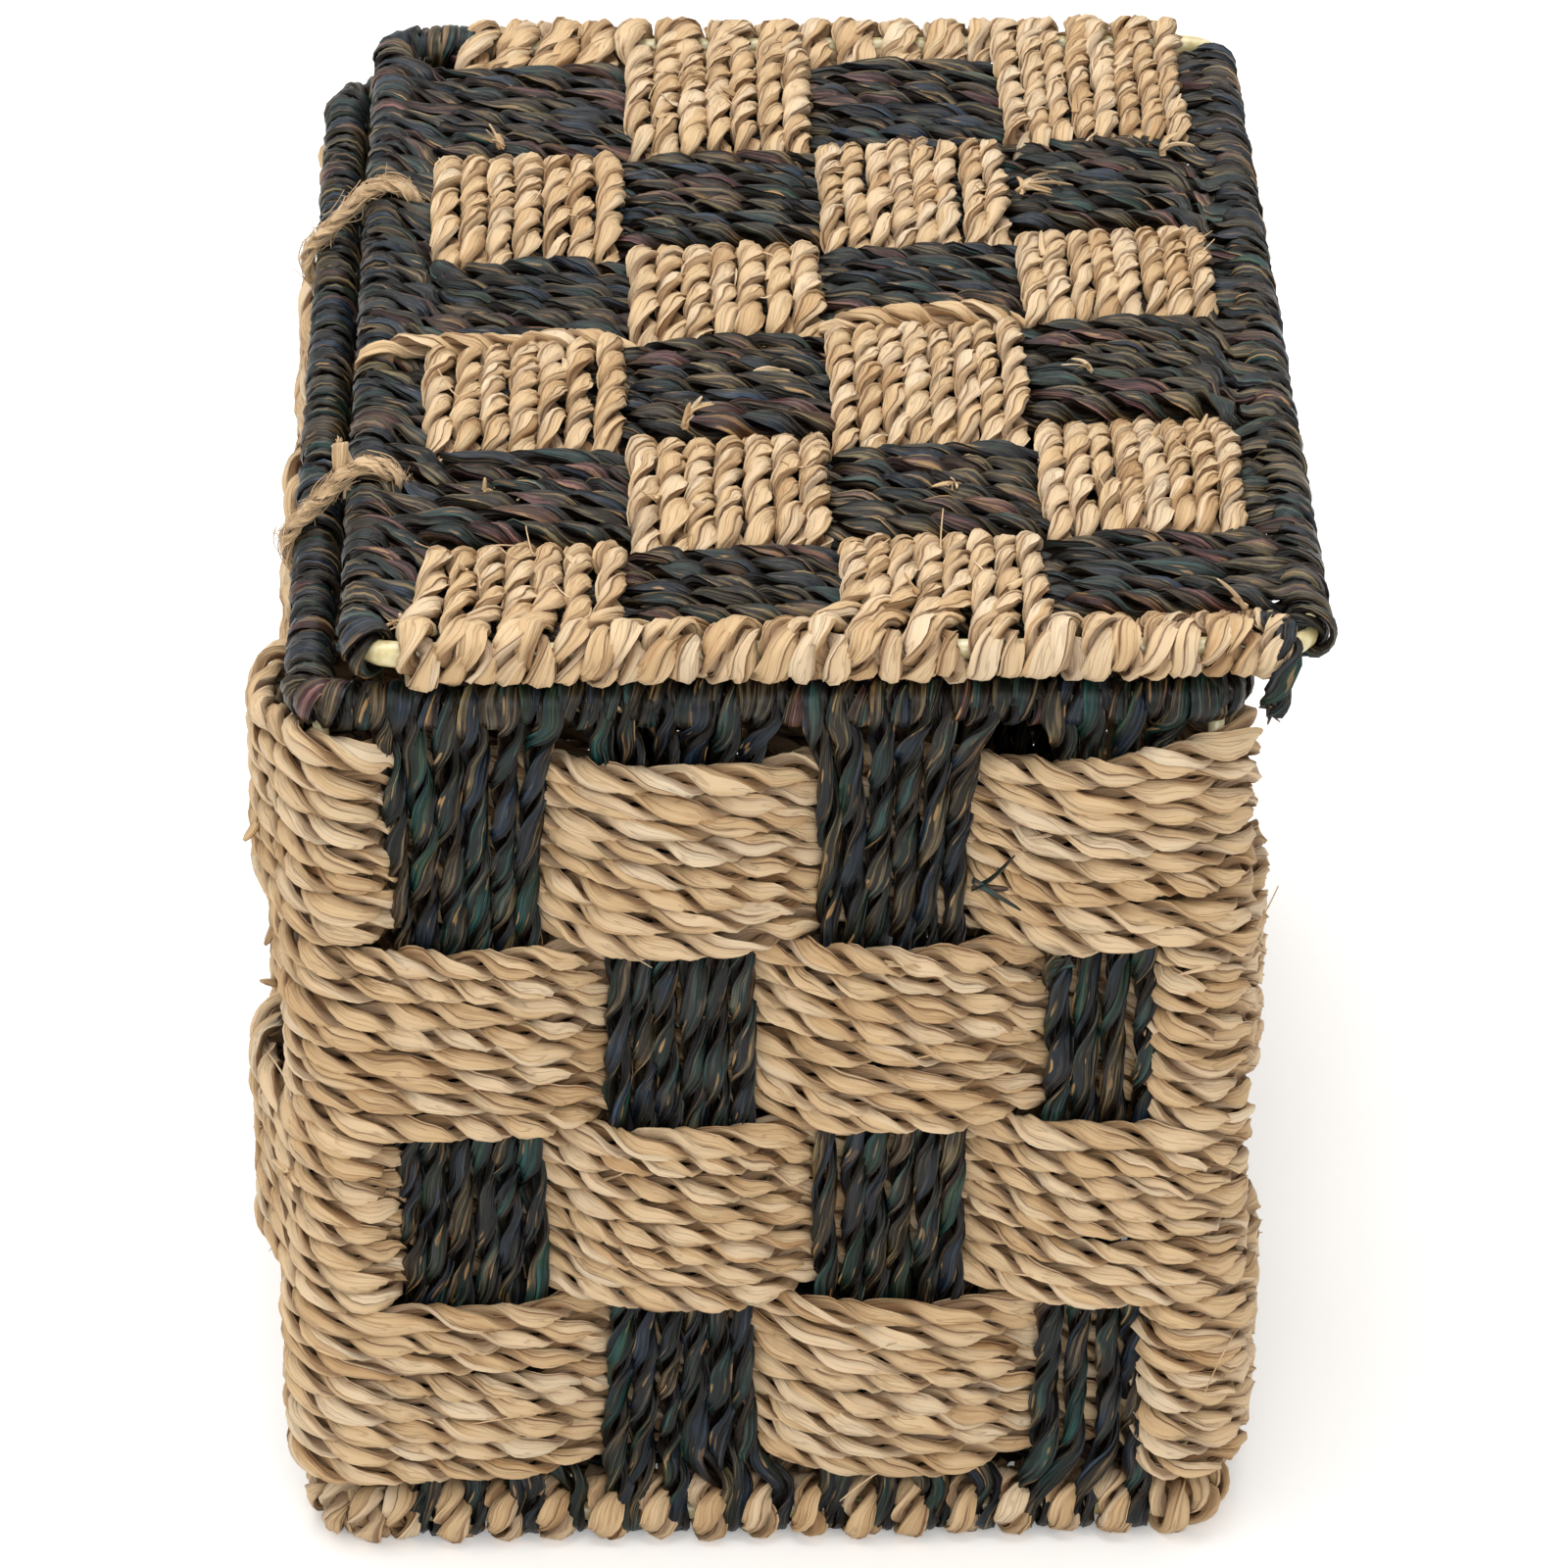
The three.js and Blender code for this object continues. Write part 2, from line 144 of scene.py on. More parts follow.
# White background paper, matt. To the camera it adds a little light of its own, so that it shows white
# and still keeps the shadow of the box.
paper, tree = new_look("paper_white_matt")
sheet = add_node(tree, "BsdfDiffuse", {"Color": linear(paper_white)})
lift = math_of(tree, "MULTIPLY", direct_rays(tree), paper_glow)
glow = add_node(tree, "Emission", {"Color": linear("#FFFFFF"), "Strength": lift})
both = add_node(tree, "AddShader", {0: sheet.outputs[0], 1: glow.outputs[0]})
add_node(tree, "OutputMaterial", {"Surface": both.outputs[0]})
floor_mesh.materials.append(paper)

# The room lights the box evenly, and shows white.
world = bpy.data.worlds.new("pale_room")
world.use_nodes = True
tree = world.node_tree
tree.nodes.clear()
room = add_node(tree, "Background", {"Color": linear(room_white), "Strength": room_strength})
white = add_node(tree, "Background", {"Color": linear("#FFFFFF"), "Strength": 1})
mixed = add_node(tree, "MixShader", {0: direct_rays(tree), 1: room.outputs[0], 2: white.outputs[0]})
add_node(tree, "OutputWorld", {"Surface": mixed.outputs[0]})
bpy.context.scene.world = world


def add_lamp(name, place, size, watts):
    """A square softbox that faces the box."""
    data = bpy.data.lights.new(name, "AREA")
    data.shape = "SQUARE"
    data.size = size
    data.energy = watts
    lamp = bpy.data.objects.new(name, data)
    lamp.location = place
    lamp.rotation_euler = (Vector(lamps_face) - Vector(place)).to_track_quat("-Z", "Y").to_euler()
    bpy.context.collection.objects.link(lamp)


add_lamp("softbox_top", (-0.2, 0.1, 2.3), 1.7, 40)
add_lamp("softbox_front", (0.3, -2.3, 1.5), 1.6, 23.5)
add_lamp("softbox_left", (-2.3, -0.6, 1.2), 1.5, 9)


# Light wall bands: twisted seagrass rope in its natural colour, eight turns to a band, laid round the box
# in front of one group of stakes and behind the next, and outside every corner post.
# Each rope is two plies twisted together, and each ply is four dried leaf strips rolled into a strand.
base_centre_x = -5.93
rim_height = 217.65
base_height = 5.65
half_width = 98
half_length = 148
bend_radius = 9
straights = [2 * (half_width - bend_radius), 2 * (half_length - bend_radius)] * 2
bend_length = bend_radius * math.pi / 2
perimeter = sum(straights) + 4 * bend_length
wall_starts = [sum(straights[:i]) + i * bend_length for i in range(4)]

group_pitch = 46
# The groups of the near end stand this far to the right of its middle.
near_shift = 3.5
# Every group of stakes has six ropes, apart from the last one of the near end.
group_widths = {6: 33, 4: 25}
stake_groups = []
for wall, (wall_name, count) in enumerate([("front", 4), ("right", 6), ("back", 4), ("left", 6)]):
    for i in range(count):
        middle = wall_starts[wall] + straights[wall] / 2 + (i - (count - 1) / 2) * group_pitch
        group_ropes = 4 if wall_name == "front" and i == count - 1 else 6
        stake_groups.append(
            {
                "node": f"{wall_name}_stakes_{i + 1}",
                "wall": wall,
                "middle": middle + (near_shift if wall_name == "front" else 0),
                "width": group_widths[group_ropes],
                "ropes": group_ropes,
            }
        )

rope_width = 6.1
wall_rope_pitch = 5.65
wall_rope_lay = 25.5
wall_rope_blur = 3.2
ropes_in_band = 8
# Heights of the bands' middles, and how far a band reaches above and below its own, with some room
band_heights = [181.35, 135.15, 88.95, 42.75]
band_reach = 23
weave_lift = 5.5
# At the corners the lower bands stand out further than the upper ones.
corner_lifts = [5.0, 5.5, 6.5, 8.5]
# How far each band bows out from the frame along the right wall and along the left wall, top band first
side_bows = {1: [0.5, 3.5, 3.0, 5.0], 3: [5.5, 4.5, 8.0, 5.5]}
bow_start = 22
# The left wall's top band bows out over the first of these lengths from its near end. From the second on it
# lies nearly flat, so that the open lid can hang beside it.
top_bow_stretch = [38, 54]
top_bow_rest = 0.6
# At each corner the top band climbs this far towards the rim, and over this length to both sides of it.
corner_rise = {0: 3.5, 1: 2.5, 2: 2.5, 3: 5.0}
corner_reach = 17
# A rope's two ends lie side by side inside the box over this length.
end_lap = 14


def wander(rng, s, spacing, columns=None):
    """A smooth random value from -1 to 1 at each length, that changes over about this spacing."""
    place = (s - s[0]) / spacing + rng.uniform(0, 1)
    knots = rng.uniform(-1, 1, (int(place[-1]) + 3,) + (() if columns is None else (columns,)))
    index = place.astype(int)
    share = place - index
    share = share * share * (3 - 2 * share)
    if columns is not None:
        share = share[:, None]
    return knots[index] * (1 - share) + knots[index + 1] * share


def spaced(route, step):
    """A route's points at even steps along it, and the length at each."""
    lengths = np.concatenate([[0], np.cumsum(np.linalg.norm(np.diff(route[:, :3], axis=0), axis=1))])
    s = np.linspace(0, lengths[-1], max(int(round(lengths[-1] / step)), 3) + 1)
    return np.column_stack([np.interp(s, lengths, column) for column in route.T]), s


def eased(route, blur):
    """A route with its corners rounded over this length. Its ends stay where they are."""
    step = 0.5
    fine, _ = spaced(route, step)
    reach = min(int(3 * blur / step), len(fine) - 1)
    weights = np.exp(-0.5 * (np.arange(-reach, reach + 1) * step / blur) ** 2)
    weights /= weights.sum()
    padded = np.pad(fine, ((reach, reach), (0, 0)), mode="reflect", reflect_type="odd")
    return np.column_stack([np.convolve(column, weights, "valid") for column in padded.T])


def flat_route(points, thin=1.0, wide=1.0, twist=1.0):
    """Points as a route. Its last columns are how far the rope is pressed thin and wide, and how tight its
    twist is there."""
    points = np.asarray(points, float)
    return np.column_stack([points, np.tile([thin, wide, twist], (len(points), 1))])


def unit_rows(rows):
    """Each row of an array brought to length 1."""
    return rows / np.linalg.norm(rows, axis=1)[:, None]


def tube_quads(rings, sides):
    """The faces of a tube: one quad at each side between two rings of points."""
    ring = np.arange(rings - 1)[:, None] * sides
    here = np.arange(sides)
    after = (here + 1) % sides
    quads = np.stack([ring + here, ring + after, ring + sides + after, ring + sides + here], axis=-1)
    return quads.reshape(-1, 4)


def tube_coords(along, around):
    """The coordinates at the corners of a tube's quads, from those along it and those round it."""
    pair = np.stack(np.broadcast_arrays(along[:, None], around[None, :]), axis=-1)
    corners = np.stack([pair[:-1, :-1], pair[:-1, 1:], pair[1:, 1:], pair[1:, :-1]], axis=2)
    return corners.reshape(-1, 4, 2)


STRIPS = 4
# Columns of points across a strip: how far along it each is, its height as a share of the lip, and how much
# painted shade it gets for lying deep in a fold
strip_shares = [(0.02, -1.0, 1), (0.15, -0.25, 0.15), (0.56, 0.2, 0), (0.985, 0.45, 0)]
SIDES = STRIPS * len(strip_shares)
# How much of the way a strip goes from the round of its ply to a straight line between its edges
strip_flatness = 0.8
# Shares of a rope's width: how far a ply's middle lies from the rope's own, how far the ply reaches from
# there towards the face and sideways, and its girth
ply_offset = 0.265
ply_thick = 0.255
ply_broad = 0.42
ply_girth = 1.9
# The coordinates of each ply start at a place of its own in the leaf's pattern, up to this far in.
pattern_spread = 4000


def strip_columns(rng, s, starts, depth, pleat, lip):
    """The columns of points across all strips of a ply: their places round it from 0 to 1, how flat the
    strip lies there, how far it rises, how much painted shade they get for lying deep in a fold, whether on
    an edge, and their tones."""
    bearing, flat, rise, fold_shade, edge, tones = [], [], [], [], [], []
    for strip, (start, end) in enumerate(zip(starts[:-1], starts[1:])):
        strip_tone = rng.uniform(0, 1) + 0.3 * wander(rng, s, 30)
        half = min(math.pi * (end - start), 0.85)
        for share, height, dark in strip_shares:
            on_ridge = 0.3 < share < 0.9
            bearing.append(start + share * (end - start))
            chord = math.cos(half) / math.cos((2 * share - 1) * half)
            flat.append(1 - strip_flatness * (1 - chord))
            rise.append(height * lip * depth[:, strip] + (pleat[:, strip] if on_ridge else 0))
            fold_shade.append(dark * np.clip(1.6 * depth[:, strip], 0, 1))
            if share > 0.9:
                edge.append(np.where(depth[:, strip] > 0.12, 1.0, 0.0))
            else:
                edge.append(np.where((np.abs(pleat[:, strip]) > 0.1) & on_ridge, 0.5, 0.0))
            tones.append(strip_tone)
    columns = [np.column_stack(values) for values in (rise, fold_shade, edge, tones)]
    return np.array(bearing), np.array(flat), *columns


def lay_rope(
    rng, route, side, width=rope_width, lay=25.0, step=1.8, loose=1.0, tone=None, lip=0.42, leafy=0.3
):
    """The mesh of one twisted rope: points, faces, coordinates along and round each ply, and strand data.

    side is the direction across the rope that its pressed width follows, lay is the length of one turn of
    the twist, loose is how far the rope strays from its route, lip is the height of a strip's lip, and
    leafy is how much of it stands free. Strand data are the tone of each strip, how much painted shade a
    point gets for lying deep in a fold or against the other ply, the tone of the rope, and 1 on the lip of
    a strip or a half on its ridge.
    """
    track, s = spaced(route, step)
    place, thin, wide, twist = track[:, :3], track[:, 3], track[:, 4], track[:, 5]
    heading = unit_rows(np.gradient(place, axis=0))
    side = np.asarray(side, float)
    across = unit_rows(side - (heading @ side)[:, None] * heading)
    normal = np.cross(across, heading)
    stray = normal * 0.25 * wander(rng, s, 17)[:, None] + across * 0.36 * wander(rng, s, 21)[:, None]
    place = place + loose * stray
    lay = lay * rng.uniform(0.82, 1.2)
    turned = np.cumsum(twist) * (s[1] - s[0]) / lay
    turn = rng.uniform(0, 2 * math.pi) + 2 * math.pi * turned + 0.9 * wander(rng, s, 1.3 * lay)
    # Round a wire, where its twist opens, the rope crumples.
    crumple = (1 + 6 * np.abs(twist - 1))[:, None]
    width = width * rng.uniform(0.94, 1.06)
    unit = width / rope_width
    rope_tone = rng.uniform(0, 1) if tone is None else tone
    rings = len(s)
    # Each end of a ply closes in a point at its middle.
    last = (rings - 1) * SIDES
    caps = []
    for j in range(0, SIDES, 2):
        caps.append([rings * SIDES, (j + 2) % SIDES, j + 1, j])
        caps.append([rings * SIDES + 1, last + j, last + j + 1, last + (j + 2) % SIDES])
    ply_faces = np.concatenate([tube_quads(rings, SIDES), np.array(caps)])
    points, faces, coords, strands = [], [], [], []
    for ply in range(2):
        # Pressed into the weave, a ply lies flat on the face for a while and then crosses over quickly.
        angle = turn - 0.23 * np.sin(2 * turn) + ply * math.pi + 0.24 * wander(rng, s, 11)
        swell = 1 + 0.15 * wander(rng, s, 0.5 * lay) + 0.06 * wander(rng, s, 5)
        # The strips of a leafy rope are more alike in width.
        widths = 0.06 + rng.dirichlet([1.6 if leafy < 0.5 else 3.5] * STRIPS)
        starts = np.concatenate([[0], np.cumsum(widths / widths.sum())])
        spin = rng.uniform(0, 2 * math.pi) - 0.42 * (turn - turn[0]) + 0.6 * wander(rng, s, 22)
        # A lip fades out and comes back along the ply, so that strips seem to start and end.
        depth = np.clip(leafy + 0.95 * wander(rng, s, 12, STRIPS), 0, 1.2)
        pleat = 0.34 * crumple * wander(rng, s, 9, STRIPS)
        bearing, flat, rise, fold_shade, edge, tones = strip_columns(rng, s, starts, depth, pleat, lip)
        beta = 2 * math.pi * bearing[None, :] + spin[:, None]
        rough = 0.11 * wander(rng, s, 9, SIDES) + (0.24 * crumple - 0.2) * wander(rng, s, 3.2, SIDES)
        rise = unit * rise + unit * rough
        # The side of a ply that lies against the other one gets painted shade too.
        inner = np.clip((0.15 - np.cos(beta)) / 0.5, 0, 1)
        reach = 1.12 * width * swell[:, None] * flat[None, :]
        radial = (reach * ply_thick + rise) * np.cos(beta)
        radial = np.where(np.cos(beta) < 0, radial * 0.86, radial)
        sideways = (reach * ply_broad + rise) * np.sin(beta)
        out = width * (ply_offset + 0.02 * wander(rng, s, 14))[:, None]
        cos, sin = np.cos(angle)[:, None], np.sin(angle)[:, None]
        up = ((out + radial) * cos - sideways * sin) * thin[:, None]
        over = ((out + radial) * sin + sideways * cos) * wide[:, None]
        grid = place[:, None, :] + up[..., None] * normal[:, None, :]
        grid = grid + over[..., None] * across[:, None, :]
        ends = grid[[0, -1]].mean(axis=1)
        points.append(np.concatenate([grid.reshape(-1, 3), ends]))
        faces.append(ply_faces + ply * (rings * SIDES + 2))
        along = (s + rng.uniform(0, pattern_spread)) * MM
        girth = width * ply_girth
        around = (np.append(bearing, 1 + bearing[0]) * girth + rng.uniform(0, pattern_spread)) * MM
        end_pairs = np.tile([along[0], around[0]], (len(caps), 4, 1))
        coords.append(np.concatenate([tube_coords(along, around), end_pairs]))
        # Painted shade: how dark a point is painted for lying in a fold or against the other ply
        painted_fold_shade = np.maximum(fold_shade, 0.6 * inner)
        marks = [np.clip(tones, 0, 1), np.clip(painted_fold_shade, 0, 1), np.full_like(edge, rope_tone), edge]
        # The closed ends of a ply get some painted shade too.
        end_marks = np.tile([0.5, 0.6, rope_tone, 0], (2, 1))
        strands.append(np.concatenate([np.stack(marks, axis=-1).reshape(-1, 4), end_marks]))
    return np.concatenate(points), np.concatenate(faces), np.concatenate(coords), np.concatenate(strands)


leaf_sides = 6
leaf_thickness = 0.3


def lay_leaf(rng, points, width, thick, tip=0.3):
    """The mesh of one loose strip of leaf, or of a fibre, along points: thin, closed, pleated, and narrower
    at its end."""
    track, s = spaced(eased(flat_route(points), 0.7), max(0.6 * width, 0.9))
    place = track[:, :3]
    heading = unit_rows(np.gradient(place, axis=0))
    across = unit_rows(np.cross(heading, rng.normal(size=3)))
    normal = np.cross(across, heading)
    share = s / s[-1]
    half = width / 2 * (tip + (1 - tip) * np.sqrt(1 - share**2)) * (1 + 0.15 * wander(rng, s, 3))
    angle = np.linspace(0, 2 * math.pi, leaf_sides, endpoint=False)
    sideways = half[:, None] * np.cos(angle)[None, :]
    upward = thick / 2 * np.sin(angle)[None, :] - rng.uniform(0.1, 0.5) * np.abs(sideways)
    grid = place[:, None, :] + sideways[..., None] * across[:, None, :]
    grid = grid + upward[..., None] * normal[:, None, :]
    rings = len(s)
    caps = np.array([[3, 2, 1, 0], [5, 4, 3, 0], [0, 1, 2, 3], [0, 3, 4, 5]])
    caps[2:] += (rings - 1) * leaf_sides
    faces = np.concatenate([tube_quads(rings, leaf_sides), caps])
    along = (s + rng.uniform(0, pattern_spread)) * MM
    # Both faces of a leaf together are a little more than twice its width.
    around = np.arange(leaf_sides + 1) / leaf_sides * 2.2 * width
    around = (around + rng.uniform(0, pattern_spread)) * MM
    end_pairs = np.tile([along[0], around[0]], (len(caps), 4, 1))
    coords = np.concatenate([tube_coords(along, around), end_pairs])
    strands = np.tile([rng.uniform(0, 1), 0, rng.uniform(0, 1), 0], (rings * leaf_sides, 1))
    return grid.reshape(-1, 3), faces, coords, strands


def frayed_end(rng, place, out, droop, leaves, reach, width):
    """The leaf ends that stand out of a rope where a new length was twisted in. They leave it along out,
    and bend towards droop."""
    made = []
    for _ in range(leaves):
        heading = np.array(out) + rng.normal(0, 0.4, 3)
        heading /= np.linalg.norm(heading)
        length = reach * rng.uniform(0.4, 1.1)
        bend = np.array(droop) * rng.uniform(0.6, 1.8) + rng.normal(0, 0.35, 3)
        share = np.linspace(-0.25, 1, 9)[:, None]
        curve = np.array(place) + length * (heading * share + 0.6 * bend * np.maximum(share, 0) ** 2)
        made.append(lay_leaf(rng, curve, width * rng.uniform(0.6, 1.2), leaf_thickness))
    return made


def frayed_ends(seed, entries):
    """Several frayed ends, each with random numbers of its own."""
    return sum((frayed_end(np.random.default_rng(seed + i), *entry) for i, entry in enumerate(entries)), [])


def add_piece(name, parts, kind, body, *nodes):
    """One piece of several rope meshes, in metres, which rides on a body and may stand for CAD nodes. Its
    kind is its material and a slot name, which is not used."""
    material, slot = kind
    counts = np.cumsum([0] + [len(part[0]) for part in parts])
    points = np.concatenate([part[0] for part in parts]) * MM
    # The rope is pressed flat where the box stands on it.
    points[:, 2] = np.maximum(points[:, 2], 0.05 * MM)
    faces = np.concatenate([part[1] + count for part, count in zip(parts, counts)])
    coords = np.concatenate([part[2] for part in parts])
    strands = np.concatenate([part[3] for part in parts])
    mesh = bpy.data.meshes.new(name)
    mesh.vertices.add(len(points))
    mesh.vertices.foreach_set("co", points.astype(np.float32).ravel())
    mesh.loops.add(faces.size)
    mesh.loops.foreach_set("vertex_index", faces.astype(np.int32).ravel())
    mesh.polygons.add(len(faces))
    mesh.polygons.foreach_set("loop_start", np.arange(0, faces.size, 4, dtype=np.int32))
    mesh.update(calc_edges=True)
    mesh.uv_layers.new(name="ply").data.foreach_set("uv", coords.astype(np.float32).ravel())
    marks = mesh.attributes.new("strand", "FLOAT_COLOR", "POINT")
    marks.data.foreach_set("color", strands.astype(np.float32).ravel())
    mesh.shade_smooth()
    # The lip and the ridge of each strip are sharp edges, which run from ring to ring.
    edges = np.empty(2 * len(mesh.edges), np.int32)
    mesh.edges.foreach_get("vertices", edges)
    edges = edges.reshape(-1, 2)
    sharp = (strands[edges, 3] > 0.45).all(axis=1) & (abs(edges[:, 0] - edges[:, 1]) == SIDES)
    mesh.attributes.new("sharp_edge", "BOOLEAN", "EDGE").data.foreach_set("value", sharp)
    mesh.materials.append(material)
    made = bpy.data.objects.new(name, mesh)
    bpy.context.collection.objects.link(made)
    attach(made, body)
    if nodes:
        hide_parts(*nodes)


def ring_place(t, out, height, centre_x, half_x, half_y, radius):
    """Points beside a rounded rectangle of wire: t along it from its near left bend, out from it, and at a
    height."""
    straight = [2 * (half_x - radius), 2 * (half_y - radius)] * 2
    arc = radius * math.pi / 2
    t = np.mod(np.asarray(t, float), sum(straight) + 4 * arc)
    x, y, angle = np.zeros_like(t), np.zeros_like(t), np.zeros_like(t)
    start = 0
    for wall, length in enumerate(straight):
        face = (wall - 1) * math.pi / 2
        reach = half_x if wall % 2 else half_y
        on = (t >= start) & (t <= start + length)
        run = t[on] - start - length / 2
        x[on] = reach * math.cos(face) - run * math.sin(face)
        y[on] = reach * math.sin(face) + run * math.cos(face)
        angle[on] = face
        start += length
        on = (t > start) & (t <= start + arc)
        bend = face + (t[on] - start) / radius
        x[on] = (reach - radius) * math.cos(face) - length / 2 * math.sin(face) + radius * np.cos(bend)
        y[on] = (reach - radius) * math.sin(face) + length / 2 * math.cos(face) + radius * np.sin(bend)
        angle[on] = bend
        start += arc
    return np.column_stack([x + centre_x + out * np.cos(angle), y + out * np.sin(angle), height + 0 * t])


def basket_place(t, out, height):
    """Points by the basket's rim ring."""
    return ring_place(t, out, height, base_centre_x, half_width, half_length, bend_radius)


def side_bow(t, wall, amount):
    """How far a side wall bows out at t, rising from nothing at its two ends."""
    start, straight = wall_starts[wall], straights[wall]
    t = np.mod(t, perimeter)
    share = np.clip(np.minimum(t - start, start + straight - t) / bow_start, 0, 1)
    return amount * np.sin(share * math.pi / 2)


def left_top_bow(t):
    """How far the top band bows out along the left wall."""
    from_near_end = wall_starts[3] + straights[3] - np.mod(t, perimeter)
    return np.interp(from_near_end, top_bow_stretch, [side_bows[3][0], top_bow_rest])


def corner_share(t, corner_number):
    """1 at a corner of the box, and nothing some way from it."""
    middle = wall_starts[corner_number] + straights[corner_number] + bend_length / 2
    away = np.mod(t - middle + perimeter / 2, perimeter) - perimeter / 2
    return np.exp(-((away / corner_reach) ** 2))


def band_offsets(row, t):
    """How far out of the wall a light band lies at t. It runs level over most of a group of stakes, with a
    slight bulge at its middle."""
    knots = []
    for count, group in enumerate(stake_groups):
        sign = 1 if (count + row) % 2 else -1
        flat = group["width"] / 2 - 3
        knots.append((group["middle"] - flat, sign * weave_lift))
        knots.append((group["middle"], sign * (weave_lift + 0.8)))
        knots.append((group["middle"] + flat, sign * weave_lift))
    for start, straight in zip(wall_starts, straights):
        knots.append((start + straight - 1, corner_lifts[row]))
        knots.append((start + straight + bend_length + 1, corner_lifts[row]))
    knots = np.array(sorted(knots))
    bows = sum(
        side_bow(t, wall, left_top_bow(t) if (wall, row) == (3, 0) else amounts[row])
        for wall, amounts in side_bows.items()
    )
    return np.interp(t, knots[:, 0], knots[:, 1], period=perimeter) + bows


def rope_look(name):
    """A material for rope, its tree, its coordinates along and round a ply, and the strand data: the tone
    of the strip, how much painted shade a point gets for lying deep in a fold, the tone of the rope, and 1
    on the lip of a strip."""
    made, tree = new_look(name)
    strand = add_node(tree, "Attribute", attribute_name="strand")
    parts = add_node(tree, "SeparateColor", {"Color": strand.outputs["Color"]})
    place = add_node(tree, "UVMap", uv_map="ply")
    return made, tree, place.outputs[0], [*parts.outputs, strand.outputs["Alpha"]]


def noise_of(tree, place, along, around, detail, roughness=0.5, start=(0, 0, 0)):
    """A noise with so many waves to a metre along a ply and round it."""
    inputs = {"Vector": place, "Location": start, "Scale": (along, around, 1)}
    mapped = add_node(tree, "Mapping", inputs).outputs[0]
    inputs = {"Vector": mapped, "Scale": 1, "Detail": detail, "Roughness": roughness}
    return add_node(tree, "TexNoise", inputs).outputs["Fac"]


def sum_of(tree, total, shares):
    """A number with shares of other values added."""
    for value, share in shares:
        total = math_of(tree, "MULTIPLY_ADD", value, share, total)
    return total


def layered(tree, colour, layers):
    """A colour with others laid over it in turn, each through a mask."""
    for mask, over in layers:
        over = linear(over) if isinstance(over, str) else over
        colour = add_node(tree, "MixRGB", {"Fac": mask, "Color1": colour, "Color2": over}).outputs["Color"]
    return colour


def finish_look(tree, colour, roughness, height, strength, depth, sheen):
    """Ends a look's tree with its surface, which has relief from a height, so many millimetres deep."""
    relief = add_node(tree, "Bump", {"Height": height, "Strength": strength, "Distance": depth * MM})
    inputs = {"Base Color": colour, "Roughness": roughness, "Normal": relief.outputs[0], **sheen}
    surface = add_node(tree, "BsdfPrincipled", inputs)
    add_node(tree, "OutputMaterial", {"Surface": surface.outputs[0]})


def natural_look():
    """Dried seagrass leaf, undyed and twisted by hand: matt straw to pinkish cream, with hairline veins and
    fine fibres along each strip, a few olive or brown places, and painted dark brown shade where strips
    fold under and in the furrows of the veins."""
    made, tree, place, (strip, fold_shade_mask, rope, _) = rope_look("seagrass_natural_twisted")
    # Fibres are about 0.5 mm across and 20 mm long.
    fibre = noise_of(tree, place, 70, 1900, 3, 0.6)
    # Veins are hairlines about 1.3 mm apart and 17 mm long, where a noise passes its middle value. Each is
    # a furrow, and its dark brown colour is painted shade in it.
    waves = noise_of(tree, place, 60, 760, 1)
    apart = math_of(tree, "ABSOLUTE", math_of(tree, "SUBTRACT", waves, 0.5))
    vein = ramp_of(tree, apart, (0.004, "#FFFFFF"), (0.022, "#000000"))
    # Weathered patches are about 12 mm long and 3 mm across.
    patch = noise_of(tree, place, 80, 330, 2)
    grain = math_of(tree, "MULTIPLY_ADD", fibre, 0.55, -0.28)
    # The straw is darker or lighter by strip, by rope, by patch and by fibre.
    tone = sum_of(tree, 0.1, [(strip, 0.42), (rope, 0.16), (patch, 0.4)])
    tone = math_of(tree, "ADD", tone, grain)
    straws = [(0.05, "#875F38"), (0.28, "#B89469"), (0.52, "#D0B187"), (0.75, "#D9BE99"), (0.98, "#DDCBAD")]
    straw = ramp_of(tree, tone, *straws)
    pale = ramp_of(tree, strip, (0.7, "#000000"), (0.95, "#808080"))
    green = ramp_of(tree, patch, (0.58, "#000000"), (0.72, "#737373"))
    stain = ramp_of(tree, patch, (0.26, "#808080"), (0.38, "#000000"))
    painted_vein_shade = math_of(tree, "MULTIPLY", vein, 0.28)
    # Painted shade: dark brown where strips fold under and where a ply lies against the other
    painted_fold_shade = math_of(tree, "MULTIPLY", fold_shade_mask, 0.92)
    # Over the straw: pinkish cream strips, olive patches, brown stains, and painted shade in the veins and
    # the folds
    layers = [(pale, "#DDC8AE"), (green, "#9E966E"), (stain, "#8E6132"), (painted_vein_shade, "#6E4722")]
    colour = layered(tree, straw, layers + [(painted_fold_shade, "#5C3008")])
    shine = math_of(tree, "MULTIPLY_ADD", fibre, 0.3, 0.5)
    # A vein is a furrow between the fibres.
    height = math_of(tree, "MULTIPLY_ADD", vein, -0.7, fibre)
    finish_look(tree, colour, shine, height, 0.6, 0.45, {"Specular IOR Level": 0.34})
    return made


natural = (natural_look(), "natural_seagrass")

